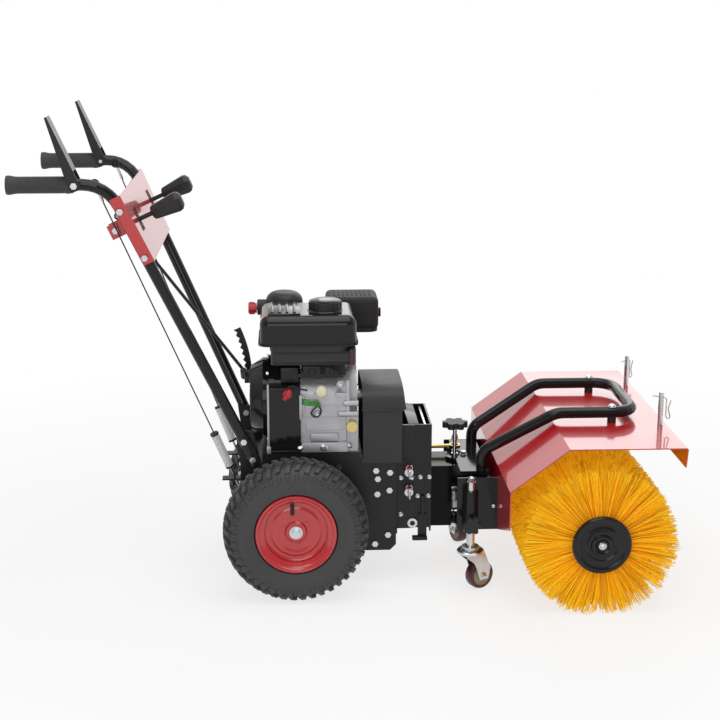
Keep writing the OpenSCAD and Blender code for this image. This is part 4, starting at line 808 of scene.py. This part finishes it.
engine_bolts = Shape()
engine_bolts.bolt((66, FACE - 9, 331), (0, -1, 0), 12, 6)
for x, z in bosses:
    engine_bolts.bolt((x, FACE - 4, z), (0, -1, 0), 8, 4, False)
engine_bolts.bolt((17, FACE - 6, 331), (-1, 0, 0), 10, 9)
engine_bolts.bolt((122, FACE - 6, 334), (1, 0, 0), 9, 8)
for y, z in ((70, 345), (-70, 345), (70, 500), (-70, 500)):
    engine_bolts.bolt((-58, y * 1.15, z), (-1, 0, 0), 8, 4)
engine_bolts.piece("engine_bolts", "tractor", bright_zinc, "zinc_plate")

# %% [markdown]
# On the far side the cylinder leans out from the crankshaft. Places on it could be worked out by hand;
# it is surer to give them along the cylinder and let two small functions lean them.

# %% Along the cylinder
CRANK_Z = 424
LEAN = Matrix.Rotation(math.radians(25), 3, "X")


def on_cylinder(x, out, up):
    return Vector((0, 0, CRANK_Z)) + LEAN @ Vector((x, out, up))


def leant(shape, middle, half, edge):
    place = on_cylinder(*middle)
    shape.block(place - Vector(half), place + Vector(half), edge, LEAN)


outward = LEAN @ Vector((0, 1, 0))
print("cylinder points", outward)

# %% [markdown]
# The cylinder's head is closed by a pressed valve cover. It could be a plain lid; a stepped dish on a
# flange, four bolts, the plug's boot with its lead and a breather hose are what make that side look
# like an engine. Below it, the crankcase has three ribs and a drain plug.

# %% Valve cover, plug and breather
cover, cover_bolts, plug_lead = Shape(), Shape(), Shape()
leant(cover, (69, 178, 0), (45, 2.5, 44), 2)
leant(cover, (69, 184, 0), (36, 7, 35), 6)
leant(cover, (69, 190, 0), (27, 4, 26), 3.5)
for up in (-12, 0, 12):
    leant(cover, (69, 194, up), (20, 1.6, 2.4), 1.5)
for x in (29, 109):
    for up in (-37, 37):
        cover.turn(on_cylinder(x, 176, up), outward, [(8, 0), (8, 5), (7, 6)], 28)
        cover_bolts.bolt(on_cylinder(x, 181.5, up), outward, 8, 5)
for z in (340, 362, 384):
    cover.block((22, 58, z), (120, 66, z + 4), 1.8)
cover.turn((70, 60, 352), (0, 1, 0), [(13, 0), (13, 8), (11.5, 9)], 32)
cover_bolts.bolt((70, 68.5, 352), (0, 1, 0), 14, 8)
boot = on_cylinder(104, 158, -47)
boot_end = boot + LEAN @ Vector((0, 8, -30))
boot_form = [(7, -4), (9, 0), (9, 14), (7, 18), (6, 30), (4, 33)]
plug_lead.turn(boot, LEAN @ Vector((0, 0.3, -1)), boot_form, 28)
plug_lead.wire([boot_end, (100, 148, 420), (70, 150, 396), (34, 128, 390), (6, 112, 404)], 3.2)
plug_lead.wire([on_cylinder(40, 190, 20), on_cylinder(34, 206, 34), (24, 168, 545), (4, 146, 552)], 5.0)
cover.piece("valve_cover", "tractor", cast_aluminium, "cast_aluminium")
cover_bolts.piece("valve_cover_bolts", "tractor", bright_zinc, "zinc_plate")
plug_lead.piece("plug_lead", "tractor", belt_rubber, "belt_rubber")

# %% [markdown]
# Round the casting hang the dark parts: the blower housing's lips, the throttle linkage below the tank
# and the starter's ribbed vents. Thin folded sheet is imitated by slim blocks with rounded edges.

# %% Blower, linkage and starter vents
dark = Shape()
strips = (((-60, -113, 466), (14, -100, 473), 2.5), ((-60, -112.5, 319.5), (14, -104, 325), 2),
    ((-46, -103, 523), (138, -99.5, 529), 1.5), ((-46, -103, 549), (138, -99.5, 555.5), 1.5),
    ((8, -98, 492), (112, -92, 502), 2), ((20, -100, 500), (60, -95, 520), 2))
for low, high, edge in strips:
    dark.block(low, high, edge)
dark.block((70, -100, 494), (100, -94, 514), 2, Matrix.Rotation(0.35, 3, "Y"))
dark.block((-30, -96, 480), (10, -88, 516), 3)
dark.turn((40, -92, 508), (0, -1, 0), [(8, 0), (8, 10), (6, 12)], 28)
dark.turn((86, -92, 506), (0, -1, 0), [(6, 0), (6, 11), (4.5, 12.5)], 28)
dark.piece("blower_lips", "tractor", black_paint, "black_paint")

vents = Shape()
for k in range(20):
    turned = Matrix.Rotation(math.radians(18 * k), 3, "X")
    middle = Vector((-99.5, 0, CRANK_Z)) + turned @ Vector((0, 49, 0))
    vents.block(middle - Vector((2.5, 20, 2.2)), middle + Vector((2.5, 20, 2.2)), 1.2, turned)
vents.turn((-98, 0, CRANK_Z), (-1, 0, 0), [(27, -1), (27, 3), (24, 5), (10, 6), (4, 6.2)], 40)
vents.turn((-98, 0, CRANK_Z), (-1, 0, 0), [(69, -1), (72.5, 2), (74, -0.5)], 64)
vents.piece("starter_vents", "tractor", gloss_black, "black_paint")

rope_line = [(-82 - 1.2 * k, 60, 464) for k in range(22)]
rope = Shape().wire(rope_line, 2.4, 8, 2).piece("starter_rope", None, belt_rubber, "belt_rubber")

# %% [markdown]
# Wires run from the switch to the engine: three green ones with a plug, and two black. They are swept
# along smooth curves through a few points that touch the casting.

# %% Wiring
green, black_wire, sensor_cap = Shape(), Shape(), Shape()
for k in range(3):
    green.wire([(14, FACE - 5, 446 - 5 * k), (26, FACE - 9 - k, 444 - 5 * k), (38, FACE - 8, 436 - 2 * k),
        (50, FACE - 10, 440 - 4 * k), (58, FACE - 5, 433 - 3 * k)], 2.0)
green.block((20, FACE - 12, 432), (34, FACE - 4, 446), 2)
black_wire.wire([(54, FACE - 6, 430), (60, FACE - 8, 420), (57, FACE - 8, 408), (46, FACE - 8, 404),
    (38, FACE - 8, 412), (44, FACE - 8, 422), (52, FACE - 6, 428)], 1.8)
black_wire.wire([(-16, -116, 472), (-4, -116, 478), (14, FACE - 8, 470), (30, FACE - 4, 466)], 2.2)
cap_form = [(12.5, 0), (13, 3), (13, 11), (11.5, 14), (8, 15.2), (3, 15.6)]
sensor_cap.turn((61, FACE - 1, 464), (0, -1, 0), cap_form, 36)
sensor_cap.block((57, FACE - 17, 455), (65, FACE - 12, 473), 1.5)
green.piece("green_wires", "tractor", green_wire, "red_plastic")
black_wire.piece("black_wires", "tractor", belt_rubber, "belt_rubber")
sensor_cap.piece("oil_sensor_cap", "tractor", cream_plastic, "red_plastic")
fuel_cock = Shape().block((126, -105, 522), (138, -92, 560), 2)
fuel_cock.piece("fuel_cock", "tractor", caster_tread, "red_plastic")

# %% [markdown]
# The tank's top carries pressed ribs and a filler collar, and the air filter a clamp band and a snorkel
# with the choke's red grip. They could be raised shading; as low turned forms and blocks they also show
# in the outline.

# %% Tank and filter
FILLER, FILTER = (73, -44), (-20, 122)
tank = Shape()
tank.block((-58, -96, 636), (16, 28, 641.5), 2.6)
for k in range(4):
    tank.block((-52 + 17 * k, -90, 640), (-45 + 17 * k, 22, 644.5), 2.0)
tank.turn((*FILLER, 636), (0, 0, 1), [(41, 0), (41, 2.5), (38.5, 4.5), (27, 4.5), (27, 0)], 56, True)
tank.turn((*FILLER, 659.6), (0, 0, 1), [(30, 0), (33, 1.6), (30, 3.4), (12, 4.0), (6, 4.0)], 48)
tank.piece("tank_ribs", "tractor", gloss_black, "black_paint")

band = Shape()
band.turn((*FILTER, 0), (0, 0, 1), [(44.1, 580), (45.4, 581), (45.4, 587), (44.1, 588)], 56, True)
band.turn((*FILTER, 0), (0, 0, 1), [(40, 552), (46, 553), (46, 560), (44, 562), (40, 562)], 56, True)
band.turn((-85, 122, 611), (1, 0, 0), [(16, 0), (19, 1.5), (19, 24), (16, 27)], 40)
band.piece("air_filter_trim", "tractor", black_plastic, "black_plastic")
choke_grip = Shape().block((-105, 117, 594), (-90, 127, 624), 3)
choke_grip.piece("choke_grip", "choke", red_plastic, "red_plastic")
turned = Matrix.Rotation(math.radians(35), 3, "Y")
switch_grip = Shape().block((-21, -130, 446), (-11, -114, 474), 3, turned)
switch_grip.piece("switch_grip", "switch", red_plastic, "red_plastic")

# %% [markdown]
# The muffler wears a slotted heat guard. Cutting real slots would need a thin shell with many edges; a
# rounded cover with dull dark slots set into it looks the same from any side.

# %% Muffler guard
guard, slots = Shape(), Shape()
guard.block((79, 74, 562), (203, 188, 641), 15)
guard.turn((203, 150, 590), (1, 0, 0), [(11, -4), (11, 9), (9, 9), (9, -4)], 32, True)
for k in range(9):
    rear, front = 97 + 10.4 * k, 102 + 10.4 * k
    slots.block((rear, 73.4, 603), (front, 80, 621), 1.4)
    slots.block((rear, 96, 638), (front, 168, 641.6), 1.4)
    slots.block((rear, 182, 584), (front, 188.6, 620), 1.4)
slots.piece("muffler_slots", "tractor", belt_rubber, "stove_black")
guard.piece("muffler_guard", "tractor", stove_black, "stove_black")

# %% [markdown]
# The belt cover's cap is a separate pressing that overlaps the sides, which shows as a pale line across
# the cover. It could be a thicker block; it is lofted along the arch instead, so that its crown stays
# smooth, and its front leans out a little.

# %% Belt cover cap
HALF, SQUARE = 113.6, 3.2
along_arch = (0.0, 0.002, 0.01, 0.03, 0.06, 0.1, 0.15, 0.21, 0.28, 0.36, 0.46, 0.58, 0.72, 0.86, 1.0)
arch = [(-HALF, 419)]
arch += [(-HALF * (1 - u), 424 + 46.5 * (1 - (1 - u) ** SQUARE) ** (1 / SQUARE)) for u in along_arch]
arch = arch + [(-y, z) for y, z in arch[-2::-1]]
cover_cap = Shape()
corners, faces = [], []
for y, z in arch:
    front = 247.5 + (468 - z) / 10
    corners += [(155, y, z), (front, y, z), (front + 1.6, y * 0.985, z - 1.5)]
for i in range(len(arch) - 1):
    faces += [[3 * i, 3 * i + 1, 3 * i + 4, 3 * i + 3], [3 * i + 1, 3 * i + 2, 3 * i + 5, 3 * i + 4]]
faces.append([3 * i + 2 for i in range(len(arch))])
cover_cap.add(corners, faces)
cover_cap.block((246, -100, 416), (256, 100, 421), 2)
for side in SIDES:
    cover_cap.block((153, side * 114 - 2, 416), (250, side * 114 + 2, 421), 1.6)
cover_cap.piece("belt_cover_cap", "tractor", satin_black, "black_paint", 45)

# %% [markdown]
# On the handle, each panel lever ends in a tapered eight-sided knob and passes through a dark slot
# strip. The handle leans back, so one function turns distances across, along and out of the handle
# into places.

# %% Panel levers
RAKE = math.radians(24.5)
ALONG = Vector((-math.sin(RAKE), 0, math.cos(RAKE)))
OUT = Vector((math.cos(RAKE), 0, math.sin(RAKE)))
HANDLE = Vector((-122.54, 0, 370.24))
raked = Matrix((Vector((0, 1, 0)), ALONG, OUT)).transposed()
LEVER_Y, LEVER_UP = 150, 537.2


def on_handle(across, along, out):
    return HANDLE + Vector((0, across, 0)) + along * ALONG + out * OUT


knob = [(10, -3), (15.4, 0), (16.6, 5), (22.4, 52), (22.8, 57), (20.5, 64), (13.5, 69)]
for name, side in (("speed_handle", 1), ("angle_handle", -1)):
    shape = Shape().turn(on_handle(side * LEVER_Y, LEVER_UP, 50), OUT, knob, 8)
    shape.piece(name + "_knob", name, black_plastic, "black_plastic", 20)
slot_strips = Shape()
for side in SIDES:
    for edge in (-10.5, 10.5):
        middle = on_handle(side * LEVER_Y + edge, LEVER_UP, 17)
        half = Vector((0.9, 26, 0.8))
        slot_strips.block(middle - half, middle + half, 0.5, raked)
slot_strips.piece("lever_slot_strips", "tractor", black_plastic, "black_plastic")

# %% [markdown]
# Each control cable pulls through a spring that sits in a clear sleeve. The sleeve is a thin tube along
# the cable's own line, and rides with the cable.

# %% Spring sleeves
for name, side in (("cable_left", 1), ("cable_right", -1)):
    top = Vector((-416.34, side * 198.5, 947.86))
    line = (Vector((-147, side * 99, 280)) - top).normalized()
    sleeve = Shape().turn(top, line, [(8.7, 632), (9.7, 631), (9.7, 720), (8.7, 719)], 28, True)
    sleeve.piece(name + "_sleeve", name, clear_sleeve, "black_plastic")
    ends = Shape()
    for along in (628, 716):
        ends.turn(top, line, [(3, along), (9.9, along + 1), (9.9, along + 6), (3, along + 7)], 28)
    ends.piece(name + "_ends", name, black_plastic, "black_plastic")
    clamp = Shape().turn(top, line, [(2.2, 12), (3.4, 13), (3.4, 40), (2.2, 42)], 16)
    clamp.piece(name + "_ferrule", name, bright_zinc, "zinc_plate")

# %% [markdown]
# The quick hitch is a plain plate, but its row of bolts, the latch's roller and the foot below it give
# it scale. Fasteners are gathered in one piece, and each one stands on the plate that it holds.

# %% Hitch and head fasteners
hitch = Shape()
plate_bolts = ((245, 249), (270, 249), (291, 249), (312, 249), (285, 203), (310, 203), (245, 160))
pin_ring = [(7 * math.sin(t), 7 * math.cos(t)) for t in (0.4, 1.5, 2.6, 3.7, 4.8, 5.9)]
for side in SIDES:
    for x, z in plate_bolts:
        hitch.bolt((x, side * (94.2 if x < 276 else 90), z), (0, side, 0), 7.5, 4)
    hitch.turn((272, side * 94.2, 139), (0, side, 0), [(6, 0), (11.5, 0), (11.5, 5), (6, 5)], 32, True)
    for z in (268, 220):
        hitch.wire([(262 + across, side * 121, z + 14 + up) for across, up in pin_ring], 1.3)
hitch.piece("hitch_fasteners", "tractor", bright_zinc, "zinc_plate")

foot = Shape()
for side in SIDES:
    foot.block((285, side * 92.5 - 3, 102), (306, side * 92.5 + 3, 160), 1.5)
    foot.block((272, side * 96 - 8, 97), (307, side * 96 + 8, 106), 2)
    foot.block((292, side * 94 - 5, 158), (300, side * 94 + 5, 205), 1.5)
foot.piece("latch_feet", "tractor", black_paint, "black_paint")
hitch_lid = Shape().block((261, -85.8, 372), (286, 85.8, 377), 1.5)
hitch_lid.piece("hitch_lid", "tractor", gloss_black, "black_paint")
hitch_bar = Shape().block((299, -85.8, 364), (304, 85.8, 372), 1)
hitch_bar.piece("hitch_bar", "tractor", bright_zinc, "zinc_plate")

head = Shape()
dome = [(9.5, 0), (9.5, 1.8), (8, 4.5), (5, 6.4), (2, 7)]
head.bolt((402, 8, 272), (0, 0, 1), 13, 6)
for side in SIDES:
    head.bolt((454, side * 150, 196), (0, side, 0), 6, 3)
    head.turn((724, side * 130, 423.5), (0, 0, 1), dome, 28)
    head.bolt((724, side * 130, 385.4), (0, 0, -1), 10, 4)
head.piece("head_fasteners", "head", bright_zinc, "zinc_plate")

# %% [markdown]
# From behind, the chassis is closed by a plain sheet. The friction drive behind it has to be reached for
# service, so a flat cover with a pressed panel is screwed over it. It could be part of the sheet; as a
# piece of its own, its edge casts the thin shadow line that such a cover shows.

# %% Service cover
service, service_bolts = Shape(), Shape()
service.block((-128, -84, 124), (-124, 84, 244), 1.5)
service.block((-130.5, -62, 142), (-127, 62, 226), 2.5)
for y in (-74, 0, 74):
    for z in (133, 235):
        service_bolts.bolt((-128, y, z), (-1, 0, 0), 8, 4)
service.piece("service_cover", "tractor", black_paint, "black_paint")
service_bolts.piece("service_cover_bolts", "tractor", bright_zinc, "zinc_plate")

# %% Close
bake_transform(rope)
